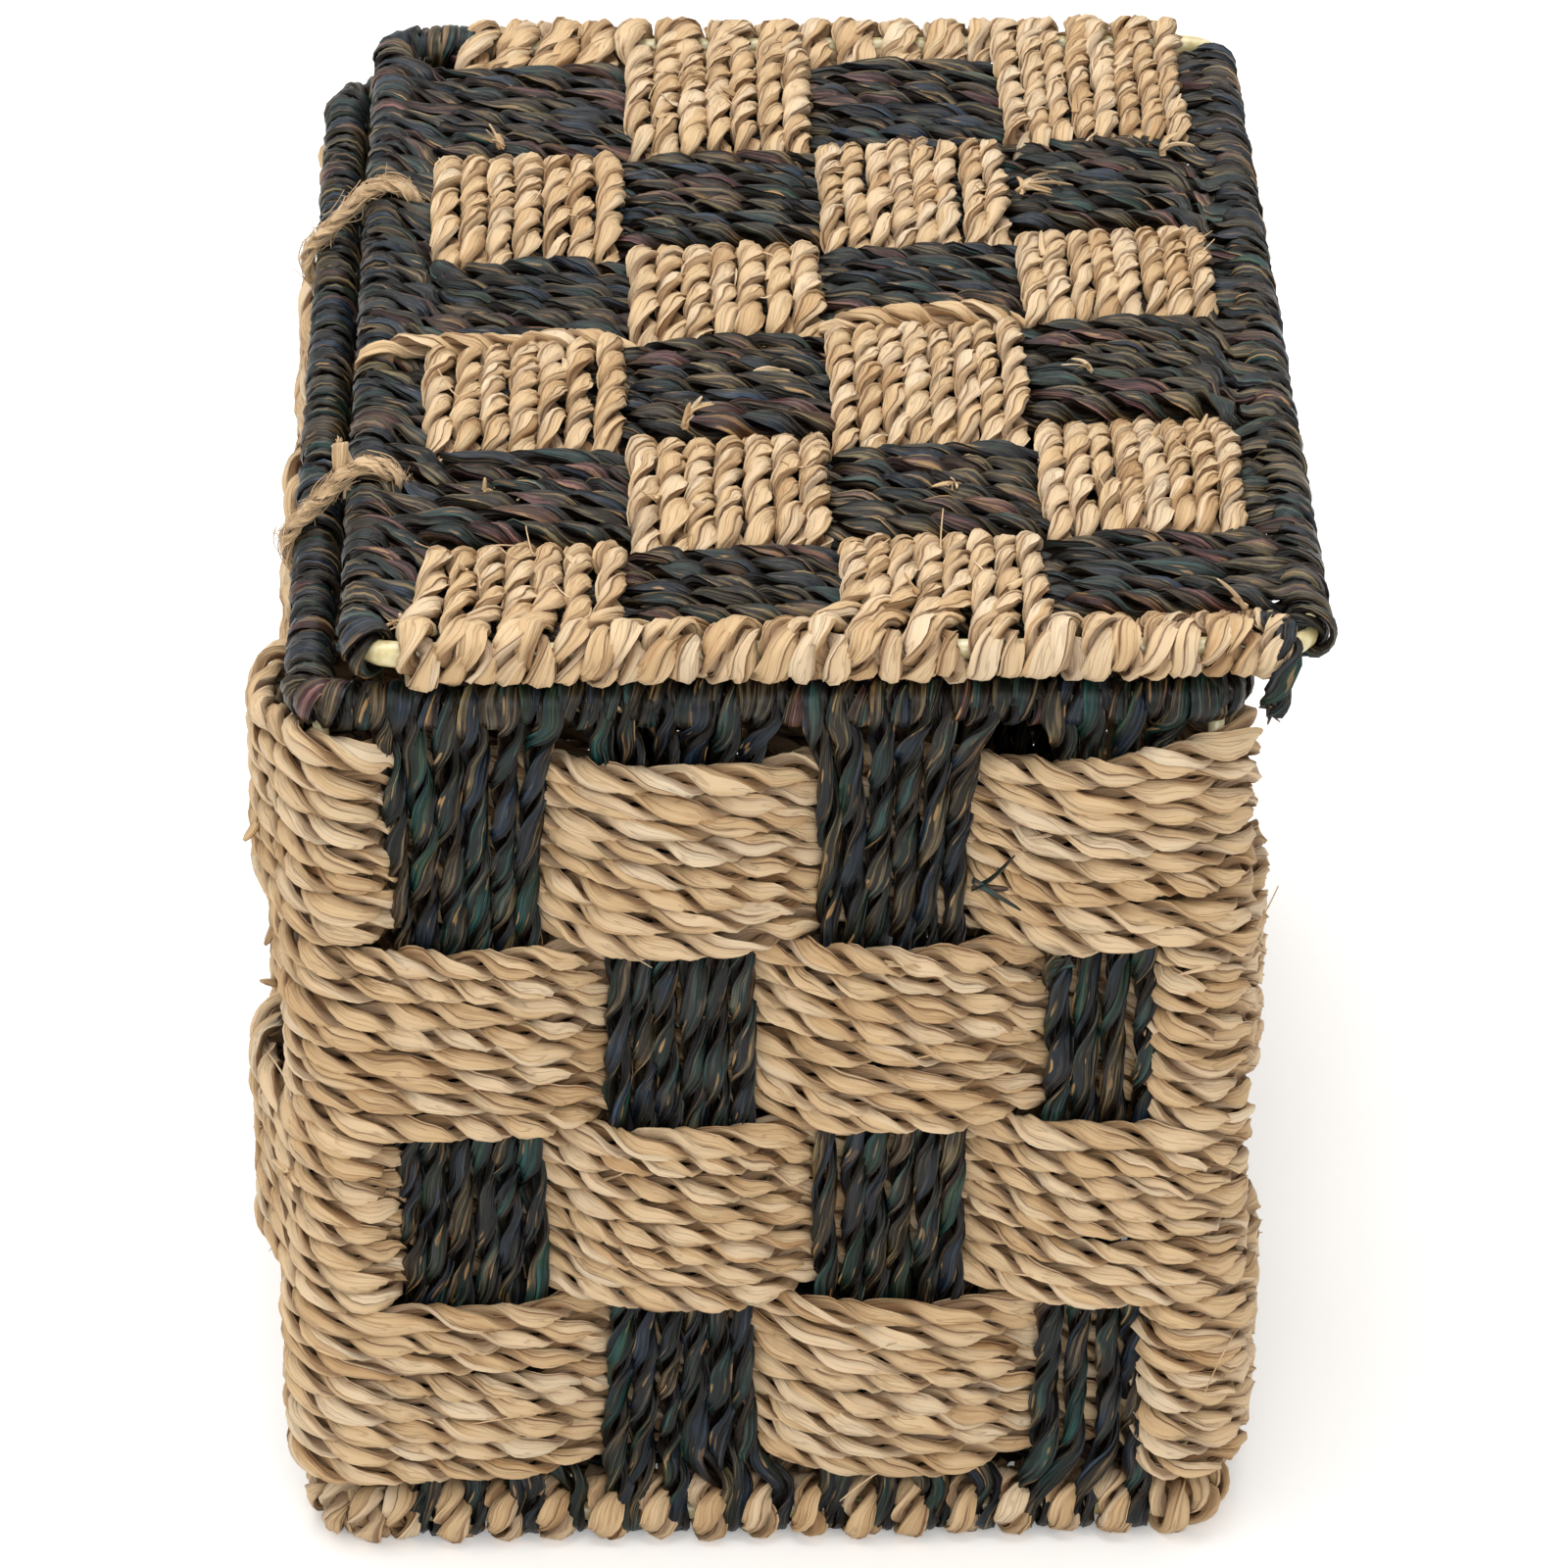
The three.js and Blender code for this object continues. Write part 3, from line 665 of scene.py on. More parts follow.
up = (0, 0, 1)
for row, band_height in enumerate(band_heights):
    rng = np.random.default_rng(100 + row)
    ropes = []
    # The ends lie inside, behind a group of stakes at the back.
    inside = [g for i, g in enumerate(stake_groups) if g["wall"] == 2 and (i + row) % 2 == 0]
    for k in range(ropes_in_band):
        start = inside[k % len(inside)]["middle"] - 8 + 2 * k
        t = np.arange(start, start + perimeter + end_lap, 1.0)
        out = band_offsets(row, t)
        # The rope tucks in a little where its own end lies on it.
        out = out + np.interp(t, [start, start + end_lap, start + perimeter, t[-1]], [-2.2, 0, 0, 2.0])
        level = (k - (ropes_in_band - 1) / 2) * wall_rope_pitch
        spread = 1 + 0.05 * np.clip(out / weave_lift, -1, 1)
        height = band_height + level * spread + 0.8 * wander(rng, t, 45) + 0.5 * wander(rng, t, 18)
        if row == 0:
            for corner_number, rise in corner_rise.items():
                height += corner_share(t, corner_number) * (rise + 0.1 * level)
        route = eased(flat_route(basket_place(t, out, height)), wall_rope_blur)
        ropes.append(lay_rope(rng, route, up, lay=wall_rope_lay, leafy=0.5))
    half = ropes_in_band // 2
    for name, part in [("upper", ropes[half:]), ("lower", ropes[:half])]:
        name = f"wall_rope_band_{row + 1}_{name}"
        add_piece(name, part, natural, "basket", f"wall_band_{row + 1}")


# Stakes: the same rope dyed blue-black. Each hooks over the rim wire, stands in the wall, and turns
# under the base wire. Between the hooks, more turns of it cover the rim wire.
stake_rope = {"width": 5.4, "lay": 31, "loose": 1.3, "lip": 0.5, "leafy": 0.6}
# A hook round the rim wire: how far the rope's middle lies from the wire's, and how far it is pressed thin
# and wide there
hook_form = (3.95, 0.54, 1.08)
base_hook_form = (4.0, 0.54, 0.95)
# Angles at which a hook or a whole turn starts and ends: 0 is outside the wire, 90 on top and 180 inside
rim_hook_angles = (236, -38)
base_hook_angles = (18, -205)
turn_angles = (236, -190)
# The pitch of a group's stakes in the wall and on the rim, by how many they are, and at the top of the wall
stake_pitches = {6: 5.45, 4: 6.3}
rim_spreads = {6: 7.1, 4: 9.5}
top_pitch = 6.6
# Heights of the points that a stake passes between its hooks
stake_heights = [rim_height - d for d in (9, 16, 40, 75)] + [90, 45, 22, base_height + 8]
# The pitch of the turns on each side of the rim
rim_slots = [4.56, 5.05, 4.56, 5.05]
turn_rope = {"lay": 28, "step": 1.5, "loose": 0.5, "lip": 0.55, "leafy": 0.7}
bend_turn_width = 7.2
# Places of the twine loops along the left wall, and the room that each takes to both sides
tie_places = [-78, 60]
tie_room = 4.9
# Where the stakes of a group turn under the base wire, beside its middle: they share the gaps that the
# light loops of the base leave, two to some gaps.
base_slots = {6: [-12.9, -10.1, 0, 10.1, 12.9, 23], 4: [-12.9, -10.1, 0, 11.5]}


# The shades of the dye from one tone to the next, and the lighter shade that each becomes on fibres that
# stand up, partly from wear and partly as a painted satin sheen
dye_shades = [
    (0.05, "#38220F", "#AD8558"),
    (0.16, "#351A1C", "#9C6F6C"),
    (0.26, "#22170D", "#A0855F"),
    (0.36, "#20190E", "#938760"),
    (0.46, "#1B130B", "#968062"),
    (0.54, "#0A1C1B", "#3C6660"),
    (0.62, "#0E0C0A", "#524B41"),
    (0.7, "#0D1924", "#3A5168"),
    (0.78, "#090909", "#484642"),
    (0.86, "#111E15", "#495F43"),
    (0.94, "#082726", "#28625B"),
]


def dyed_look():
    """Seagrass leaf dyed black in a vat: smoother than the natural leaf, with a low satin sheen that shows
    warm grey, partly gloss and partly painted as lighter fibres, some strips gone teal, green or
    purple-brown, straw where an edge took no dye, and painted shade in its folds."""
    made, tree, place, (strip, fold_shade_mask, rope, lip) = rope_look("seagrass_dyed_twisted")
    # Fibres lie in bundles about 0.9 mm across and 20 mm long.
    fibre = noise_of(tree, place, 50, 1100, 3, 0.65)
    # A patch of one shade of the dye is about 25 mm long and 4 mm across.
    patch = noise_of(tree, place, 40, 240, 2)
    # A place that took no dye is about 9 mm long and 1 mm across.
    miss = noise_of(tree, place, 110, 900, 1, start=(7, 3, 0))
    # The shade of the dye changes by strip, by rope and by patch.
    tone = sum_of(tree, -0.2, [(strip, 0.56), (rope, 0.34), (patch, 0.5)])
    dye = ramp_of(tree, tone, *[(at, dark) for at, dark, _ in dye_shades])
    shade = ramp_of(tree, tone, *[(at, light) for at, _, light in dye_shades])
    # Fibres that stand up are lightened: partly wear, partly a painted satin sheen
    worn_and_sheen = ramp_of(tree, fibre, (0.485, "#000000"), (0.67, "#DADADA"))
    bare = ramp_of(tree, miss, (0.64, "#000000"), (0.68, "#FFFFFF"))
    straw = math_of(tree, "MULTIPLY", math_of(tree, "MULTIPLY_ADD", lip, 0.75, 0.25), bare)
    # Painted shade: near black where strips fold under and where a ply lies against the other
    painted_fold_shade = math_of(tree, "MULTIPLY", fold_shade_mask, 1.5, use_clamp=True)
    # Over the dye: fibres lightened partly by wear and partly as a painted satin sheen, straw on the lips
    # where it took no dye, and painted shade in the folds
    colour = layered(tree, dye, [(worn_and_sheen, shade), (straw, "#A88457"), (painted_fold_shade, "#100A06")])
    shine = math_of(tree, "MULTIPLY_ADD", fibre, 0.3, 0.2)
    finish_look(tree, colour, shine, fibre, 0.9, 0.8, {"Specular IOR Level": 0.26})
    return made


dyed = (dyed_look(), "dyed_seagrass")


def along_wire(face):
    """The direction in which t grows where the wire's outside faces this way."""
    return (-math.sin(face), math.cos(face), 0)


def wall_direction(wall):
    """The direction along a wall in which t grows."""
    return along_wire((wall - 1) * math.pi / 2)


def turn_points(angles):
    """The angles of the points of a turn, in radians: one at about every 12 degrees."""
    first, last = angles
    return np.radians(np.linspace(first, last, max(int(abs(last - first) / 12), 4)))


def hook_turn(middle, height, angles, drift, radius, thin, wide, place=basket_place):
    """Part of a turn of rope round a wire, between two angles. It drifts along the wire on its way."""
    angle = turn_points(angles)
    t = middle + np.linspace(-drift, 0, len(angle))
    points = place(t, radius * np.cos(angle), height + radius * np.sin(angle))
    return flat_route(points, thin, wide)


def clear_of_ties(places, ties):
    """Places along the hinge side, moved aside where a twine loop passes."""
    for tie in ties:
        near = places - tie
        aside = tie + np.where(near < 0, -tie_room, tie_room)
        places = np.where(np.abs(near) < tie_room, aside, places)
    return places


def nearest_free(turns, taken, want):
    """Takes the free turn that is nearest to the place wanted, and gives its number."""
    best = min((i for i in turns if i not in taken), key=lambda i: abs(turns[i] - want))
    taken.add(best)
    return best


# The rim is covered turn by turn. Each stake takes the nearest turn to its own place.
rim_turns = []
for wall, (start, straight) in enumerate(zip(wall_starts, straights)):
    count = int(round(straight / rim_slots[wall]))
    rim_turns += [(start + (i + 0.5) * straight / count, wall) for i in range(count)]
taken = set()
for number, group in enumerate(stake_groups):
    rng = np.random.default_rng(300 + number)
    wall, middle, group_ropes = group["wall"], group["middle"], group["ropes"]
    order = np.arange(group_ropes) - (group_ropes - 1) / 2
    turns_here = {i: t for i, (t, on) in enumerate(rim_turns) if on == wall}
    wanted = middle + order * rim_spreads[group_ropes]
    rim_places = np.array(sorted(turns_here[nearest_free(turns_here, taken, want)] for want in wanted))
    pitch = stake_pitches[group_ropes]
    # The loops of twine pass only the top of the left wall.
    ties = [wall_starts[3] + straights[3] / 2 - tie for tie in tie_places] if wall == 3 else []
    top_places = clear_of_ties(middle + order * top_pitch, ties)
    mid_places = clear_of_ties(middle + order * (pitch + 0.5), ties)
    low_places = middle + np.array(base_slots[group_ropes])
    # A stake leans on the back of a band that lies outside it, and on the face of one that lies inside.
    outs = []
    for z in stake_heights:
        row = int(np.argmin([abs(z - b) for b in band_heights]))
        outside = 1 if (number + row) % 2 else -1
        outs.append(-0.55 * outside if abs(z - band_heights[row]) < band_reach else 0.3)
    outs[-1] = 1.4
    ropes = []
    for i in range(group_ropes):
        across = [
            top_places[i],
            mid_places[i],
            middle + order[i] * pitch,
            middle + order[i] * pitch * 0.98,
            middle + order[i] * pitch,
            middle + order[i] * pitch,
            middle + order[i] * (pitch + 0.5),
            low_places[i],
        ]
        out = np.array(outs)
        if wall in side_bows:
            amounts = [left_top_bow(middle)] + side_bows[3][1:] if wall == 3 else side_bows[wall]
            levels = [base_height] + band_heights[::-1] + [rim_height]
            bows = np.interp(stake_heights, levels, [0] + amounts[::-1] + [0])
            out = out + side_bow(np.array(across), wall, bows)
        across = np.array(across) + rng.uniform(-0.5, 0.5, len(across))
        out = out + rng.uniform(-0.25, 0.25, len(out))
        hook = hook_turn(rim_places[i], rim_height, rim_hook_angles, 2.2, *hook_form)
        stem = flat_route(basket_place(across, out, np.array(stake_heights)))
        end = hook_turn(low_places[i], base_height, base_hook_angles, 1.2, *base_hook_form)
        route = eased(np.concatenate([hook, stem, end]), 1.5)
        ropes.append(lay_rope(rng, route, wall_direction(wall), tone=rng.uniform(0.55, 1), **stake_rope))
    group["parts"] = ropes

# The turns that no stake takes go to the nearest group of the same wall.
for i, (t, wall) in enumerate(rim_turns):
    if i in taken:
        continue
    rng = np.random.default_rng(900 + i)
    route = hook_turn(t + 2.4, rim_height, turn_angles, 4.6, *hook_form)
    turn = lay_rope(rng, route, wall_direction(wall), width=5.6, **turn_rope)
    owner = min((g for g in stake_groups if g["wall"] == wall), key=lambda g: abs(g["middle"] - t))
    owner["parts"].append(turn)
for group in stake_groups:
    add_piece(group["node"] + "_rope", group["parts"], dyed, "basket", group["node"])

# Round each bend of the rim, three more turns
for i in range(4):
    rng = np.random.default_rng(1200 + i)
    start = wall_starts[i] + straights[i]
    turns = []
    for share in (0.14, 0.5, 0.86):
        t = start + share * bend_length
        side = along_wire((i - 1 + share) * math.pi / 2)
        route = hook_turn(t + 1.6, rim_height, turn_angles, 3.2, *hook_form)
        turns.append(lay_rope(rng, route, side, width=bend_turn_width, lay=30, loose=0.3, step=1.5))
    add_piece(f"rim_bend_rope_{i + 1}", turns, dyed, "basket", f"rim_corner_wrap_{i + 1}")


# Base edge: between the stakes, loops of the floor's light seagrass rope go round the base wire and the
# dark hooks beside them.
loop_pitch = 11.5
loop_height = base_height + 1.1
loop_angles = (215, -215)
loop_radius = 4.9
corner_loop_radius = 5.0
loop_thin = 0.74
loop_wide = 1.15
loops = []
loop_number = 0
for wall in range(4):
    groups = [g for g in stake_groups if g["wall"] == wall]
    for t in [g["middle"] + (i - 1.5) * loop_pitch for g in groups for i in range(4)]:
        rng = np.random.default_rng(1500 + loop_number)
        loop_number += 1
        if not wall_starts[wall] < t < wall_starts[wall] + straights[wall]:
            continue
        lean = rng.uniform(1.6, 3.4)
        radius = loop_radius * rng.uniform(0.95, 1.12)
        route = hook_turn(t + lean / 2, loop_height, loop_angles, lean, radius, loop_thin, loop_wide)
        loops.append(lay_rope(rng, route, wall_direction(wall), width=6.6, lay=19, loose=0.4, step=1.5))
for i in range(4):
    start = wall_starts[i] + straights[i]
    for share in (0.1, 0.5, 0.9):
        rng = np.random.default_rng(1700 + loop_number)
        loop_number += 1
        t = start + share * bend_length
        side = along_wire((i - 1 + share) * math.pi / 2)
        route = hook_turn(t + 1, loop_height, loop_angles, 2, corner_loop_radius, loop_thin, loop_wide)
        loops.append(lay_rope(rng, route, side, width=6.8, lay=18, loose=0.3, step=1.5))
add_piece("base_edge_loops", loops, natural, "basket")


# Lid: light ropes run along it and dark ropes across it, one over and one under. The light ropes hook
# round the wires of its ends and the dark ropes round those of its sides.
lid_x = 8.32
lid_height = 230.65
lid_half_x = 100.25
lid_half_y = 149
lid_bend = 7
column_pitch = 45.25
lid_columns = [lid_x + 1 + (i - 1.5) * column_pitch for i in range(4)]
column_ropes = [7, 7, 8, 8]
column_rope_widths = {7: 6.2, 8: 5.7}
column_rope = {"lay": 18.5, "step": 1.5, "loose": 1.3, "lip": 0.52, "leafy": 0.45}
# How wide a band is in the middle of the lid and on its far wire
column_spread = 43
far_spread = 43.6
# How far the ropes rise over the rows and dip under them, how much more they do at a row's middle, and how
# far inside a row's edge they start to
column_lift = 3.9
column_bulge = 0.6
row_margin = 3.4
# The rows of dark rope are uneven. Each keeps its own stretch of the sides, and slants across the lid.
row_ends = [-139.5, -103.8, -57.2, -8.4, 35.4, 85.3, 137.0]
row_shifts = [-2.5, -3.5, 1, -1, 2, -3]
row_slants = [0.05, 0.02, 0.09, 0.08, 0.07, 0.02]
row_ropes = [5, 6, 7, 6, 7, 8]
row_rope_pitches = [6.1, 6.4, 6.1, 6.2, 6.3, 6.1]
row_rope = {"width": 5.9, "lay": 25, "step": 1.7, "loose": 1.3, "lip": 0.5, "leafy": 0.6}
row_lift = 1.6
row_bulge = 0.5
column_crossings = [(x, column_pitch / 2 - 6) for x in lid_columns]
# A light rope's hook round an end wire: its radius, and how far it is pressed thin and wide and how tight
# its twist is there
end_radius = 4.8
end_form = (0.84, 1.2, 0.82)
end_angles = (-165, 128)
# The turns of light rope on the near wire are spread evenly from here, which leaves the corners bare.
near_start = -79.5
near_pitch = 6.2
# On the far wire the first band is pushed together, and dark rope covers the corner beside it.
far_shift = 4.5
far_pitch = 4.95


def lid_hook(sign, angles, along_y, drift, middle, radius, thin, wide, twist=1.0):
    """Part of a turn round a wire of the lid's frame, at its ends if along_y, otherwise at its sides."""
    angle = turn_points(angles)
    out = sign * ((lid_half_y if along_y else lid_half_x) + radius * np.cos(angle))
    side = middle + np.linspace(-drift, drift, len(angle))
    height = lid_height + radius * np.sin(angle)
    points = np.column_stack([side, out, height] if along_y else [out + lid_x, side, height])
    return flat_route(points, thin, wide, twist)


def lid_place(t, out, height):
    """Points by the lid's frame wire."""
    return ring_place(t, out, height, lid_x, lid_half_x, lid_half_y, lid_bend)


def row_middle(row, x):
    """Where the middle of a row of dark rope lies along the lid."""
    return (row_ends[row] + row_ends[row + 1]) / 2 + row_shifts[row] + row_slants[row] * (x - lid_x)


def bar_middle(row, sign):
    """Where the middle of a row lies at the lid's hinge side, -1, or its free side, 1."""
    return (row_ends[row] + row_ends[row + 1]) / 2 + 4 * sign


def woven(crossings, lift, first_up, bulge):
    """Height of a rope over and under the bands that cross it, as (place, height) pairs. A crossing is the
    middle of a band and how far to both sides of it the rope runs level."""
    pairs = []
    for i, (place, level) in enumerate(crossings):
        sign = 1 if (i % 2 == 0) == first_up else -1
        pairs.append((place - level, sign * lift))
        pairs.append((place, sign * (lift + bulge)))
        pairs.append((place + level, sign * lift))
    return pairs


rope_number = 0
for column, middle in enumerate(lid_columns):
    rng = np.random.default_rng(2000 + column)
    count = column_ropes[column]
    ropes = []
    for k in range(count):
        order = k - (count - 1) / 2
        x = middle + order * column_spread / count
        near_x = near_start + rope_number * near_pitch
        far_x = middle + order * far_spread / count if column else middle + far_shift + order * far_pitch
        rope_number += 1
        slant = rng.uniform(0.9, 2.4) * (1 if k % 2 else -1)
        near_radius = end_radius * rng.uniform(0.95, 1.05)
        near = lid_hook(-1, end_angles, True, slant, near_x, near_radius, *end_form)
        far = lid_hook(1, end_angles[::-1], True, -slant, far_x, end_radius, *end_form)
        rows = [(row_middle(i, x), row_ropes[i] * row_rope_pitches[i] / 2 - row_margin) for i in range(6)]
        woven_points = [
            (x + rng.uniform(-0.4, 0.4) + 0.035 * order * h, y, lid_height + h + rng.uniform(-0.3, 0.3))
            for y, h in woven(rows, column_lift, column % 2 == 0, column_bulge)
        ]
        route = eased(np.concatenate([near, flat_route(woven_points, twist=0.95), far]), 1.9)
        ropes.append(lay_rope(rng, route, (1, 0, 0), width=column_rope_widths[count], **column_rope))
    add_piece(f"lid_rope_column_{column + 1}", ropes, natural, "lid", f"lid_long_{column + 1}")

# The sides are covered turn by turn. Each dark rope takes the turn that is nearest to its own place on
# each side, and more turns of the same rows cover what is left.
side_slot = 4.8
side_hook_angles = (-170, 132)
side_turn_angles = (-205, 195)
side_count = int(round(2 * (lid_half_y - lid_bend - 4) / side_slot))
side_turns = {i: (i - (side_count - 1) / 2) * side_slot for i in range(side_count)}
taken = {-1: set(), 1: set()}
for row in range(6):
    rng = np.random.default_rng(2200 + row)
    order = np.arange(row_ropes[row]) - (row_ropes[row] - 1) / 2
    rope_pitch = row_rope_pitches[row]
    side_ys = order * (row_ends[row + 1] - row_ends[row]) / row_ropes[row]
    bar_places = {}
    for sign in (-1, 1):
        wanted = bar_middle(row, sign) + side_ys
        bar_places[sign] = sorted(side_turns[nearest_free(side_turns, taken[sign], y)] for y in wanted)
    ropes = []
    for j in range(row_ropes[row]):
        near_y = float(clear_of_ties(bar_middle(row, -1) + side_ys[j], tie_places))
        hinge = lid_hook(-1, side_hook_angles, False, 1.2, bar_places[-1][j], *hook_form)
        free_end = lid_hook(1, side_hook_angles[::-1], False, -1.2, bar_places[1][j], *hook_form)
        inner = [(-lid_half_x + lid_x + 11, near_y, lid_height + 0.6)]
        for x, h in woven(column_crossings, row_lift, row % 2 == 1, row_bulge):
            y = row_middle(row, x) + order[j] * (rope_pitch + 0.05 * h) + rng.uniform(-0.4, 0.4)
            inner.append((x, y, lid_height + h + rng.uniform(-0.3, 0.3)))
        inner.append((lid_half_x + lid_x - 7, bar_middle(row, 1) + side_ys[j], lid_height + 0.6))
        inner_route = flat_route(inner)
        # Beside the bars the ropes lie flatter and broader.
        inner_route[[0, -1], 4] = 1.3
        route = eased(np.concatenate([hinge, inner_route, free_end]), 1.5)
        ropes.append(lay_rope(rng, route, (0, 1, 0), tone=rng.uniform(0, 0.7), **row_rope))
    for sign in (-1, 1):
        for i, place in side_turns.items():
            mine = row == np.clip(np.searchsorted(row_ends, place) - 1, 0, 5)
            crowded = any(abs(place - other) < side_slot * 0.6 for other in bar_places[sign])
            if i in taken[sign] or not mine or crowded:
                continue
            taken[sign].add(i)
            route = lid_hook(sign, side_turn_angles, False, 2.3, place, *hook_form)
            ropes.append(lay_rope(rng, route, (0, 1, 0), width=5.7, **turn_rope))
    add_piece(f"lid_rope_row_{row + 1}", ropes, dyed, "lid", f"lid_cross_{row + 1}")


# Far left corner of the lid: more turns of dark rope, round the bend and along the end to the first light
# turn. At the near corners the turns of the sides run on round most of the bend.
corner_radius = 4.1
corner_thin = 0.6
corner_wide = 1.15
lid_straights = [2 * (lid_half_x - lid_bend), 2 * (lid_half_y - lid_bend)] * 2
lid_arc = lid_bend * math.pi / 2
far_left_bend = sum(lid_straights[:3]) + 2 * lid_arc
near_left_bend = sum(lid_straights) + 3 * lid_arc
near_right_bend = lid_straights[0]
# Each turn's seed, the bend that it is at, how far past the bend's start, which way the wire faces at that
# start, and the turn's width
corner_places = [(2300 + i, far_left_bend, i * 4.2 - 14.5, math.pi / 2, 5.8) for i in range(7)]
corner_places += [
    (2310, near_left_bend, 0.2, math.pi, 5.9),
    (2311, near_left_bend, 4.4, math.pi, 5.9),
    (2312, near_right_bend, 10.2, -math.pi / 2, 5.9),
]
corner_turns = []
for seed, bend, away, face, width in corner_places:
    rng = np.random.default_rng(seed)
    t = bend + away + 1.2
    route = hook_turn(t, lid_height, turn_angles, 2.4, corner_radius, corner_thin, corner_wide, lid_place)
    side = along_wire(face + max(away, 0) / lid_bend)
    corner_turns.append(lay_rope(rng, route, side, width=width, lay=26, loose=0.4, step=1.5))
add_piece("lid_corner_turns", corner_turns, dyed, "lid")

# Near right corner of the lid: the end of a dark rope hangs over the bare wire.
rng = np.random.default_rng(2320)
tail = [
    (99, -141, 232.5),
    (101.5, -147, 236),
    (103, -152.5, 234.5),
    (103, -155.6, 229),
    (101.6, -156, 223),
    (100, -155.2, 218.5),
]
hanging = lay_rope(rng, eased(flat_route(tail, 0.8, 1.05), 1.5), (1, 0, 0), width=5.9, lay=19, step=1.5)
frays = frayed_end(rng, (100, -155.2, 219), (-0.2, -0.1, -1), (0.3, 0, 0), 6, 4, 1.8)
add_piece("lid_corner_tail", [hanging] + frays, dyed, "lid")

# Middle of the lid: one loose light rope runs across it in the groove between the third and fourth rows,
# over the first and third light bands and under the others, with its start turned back by the hinge wire.
# Its points are given for a straight groove and then follow the slant of the real one.
rng = np.random.default_rng(2330)
crossing = [
    (-89, -9.5, 225.5),
    (-94.4, -9.2, 229),
    (-94.6, -8.4, 234.6),
    (-89, -7.2, 237.2),
    (-78, -5.2, 236.8),
    (-62, -4.4, 235.2),
    (-44, -2.8, 235.0),
    (-34, -1.2, 230.5),
    (-26, -0.6, 225.6),
    (-2, 0.4, 225.6),
    (6, 0.8, 230.5),
    (16, 1.6, 235.0),
    (30, 2.4, 235.6),
    (44, 2.6, 235.0),
    (54, 2.4, 230.5),
    (62, 2.2, 225.6),
    (84, 1.6, 225.8),
]
groove_place = -8.3
groove_slant = 0.1
crossing = [(x, 0.5 * y + groove_place + groove_slant * (x - lid_x), z) for x, y, z in crossing]
loose_rope = lay_rope(rng, eased(flat_route(crossing), 1.6), (0.1, 1, 0), width=5.6, lay=19, step=1.5)
add_piece("lid_loose_rope", [loose_rope], natural, "lid")


# Floor: light seagrass rope lengthwise and dyed rope crosswise, woven over and under as the lid is. The
# ropes stop inside the base wire.
floor_height = 6.85
floor_columns = [base_centre_x + (i - 1.5) * 44 for i in range(4)]
floor_rows = [(i - 2.5) * 46 for i in range(6)]
floor_half_x = 93
floor_half_y = 143
floor_lay = 24
# Pitch of the ropes in a band, and how far they rise over the other bands and dip under them
column_floor_pitch = 5.95
column_floor_lift = 3.4
row_floor_pitch = 6
row_floor_lift = 1.6
for column, middle in enumerate(floor_columns):
    rng = np.random.default_rng(2500 + column)
    ropes = []
    for k in range(7):
        x = middle + (k - 3) * column_floor_pitch
        pairs = woven([(y, 14.5) for y in floor_rows], column_floor_lift, column % 2 == 0, 0.3)
        pairs = [(-floor_half_y, 0)] + pairs + [(floor_half_y, 0)]
        route = eased(flat_route([(x, y, floor_height + h) for y, h in pairs]), 2)
        ropes.append(lay_rope(rng, route, (1, 0, 0), lay=floor_lay, step=2.6))
    add_piece(f"floor_rope_column_{column + 1}", ropes, natural, "basket", f"floor_long_{column + 1}")
for row, middle in enumerate(floor_rows):
    rng = np.random.default_rng(2600 + row)
    ropes = []
    for j in range(6):
        y = middle + (j - 2.5) * row_floor_pitch
        pairs = woven([(x, 16) for x in floor_columns], row_floor_lift, row % 2 == 1, 0.2)
        pairs = [(base_centre_x - floor_half_x, 0)] + pairs + [(base_centre_x + floor_half_x, 0)]
        route = eased(flat_route([(x, y, floor_height + h) for x, h in pairs]), 2)
        ropes.append(lay_rope(rng, route, (0, 1, 0), width=5.8, lay=floor_lay, step=2.6))
    add_piece(f"floor_rope_row_{row + 1}", ropes, dyed, "basket", f"floor_cross_{row + 1}")


# Wire frame: steel wire bent to rings for rim, base and lid, with a post at each corner of the box. It was
# dipped in cream paint, which shows at the lid's near corners.
wire_radius = 2.25
post_radius = 1.75
wire_sides = 20
# The lid's ring is joined at its near left bend, where the paint lies thicker over this length.
joint_paint = 0.6
joint_reach = 9


def painted_look():
    """Steel wire dipped in cream enamel: glossy and a little uneven, yellower where the coat is thick."""
    made, tree = new_look("steel_wire_cream_enamel")
    place = add_node(tree, "TexCoord").outputs["Object"]
    # Runs and thick places of the coat are about 4 mm across.
    coat = add_node(tree, "TexNoise", {"Vector": place, "Scale": 250, "Detail": 2}).outputs["Fac"]
    cream = ramp_of(tree, coat, (0.3, "#B9A670"), (0.5, "#D6C998"), (0.75, "#E6DDB8"))
    finish_look(tree, cream, 0.28, coat, 0.3, 0.5, {"Coat Weight": 0.3})
    return made


enamel = painted_look()


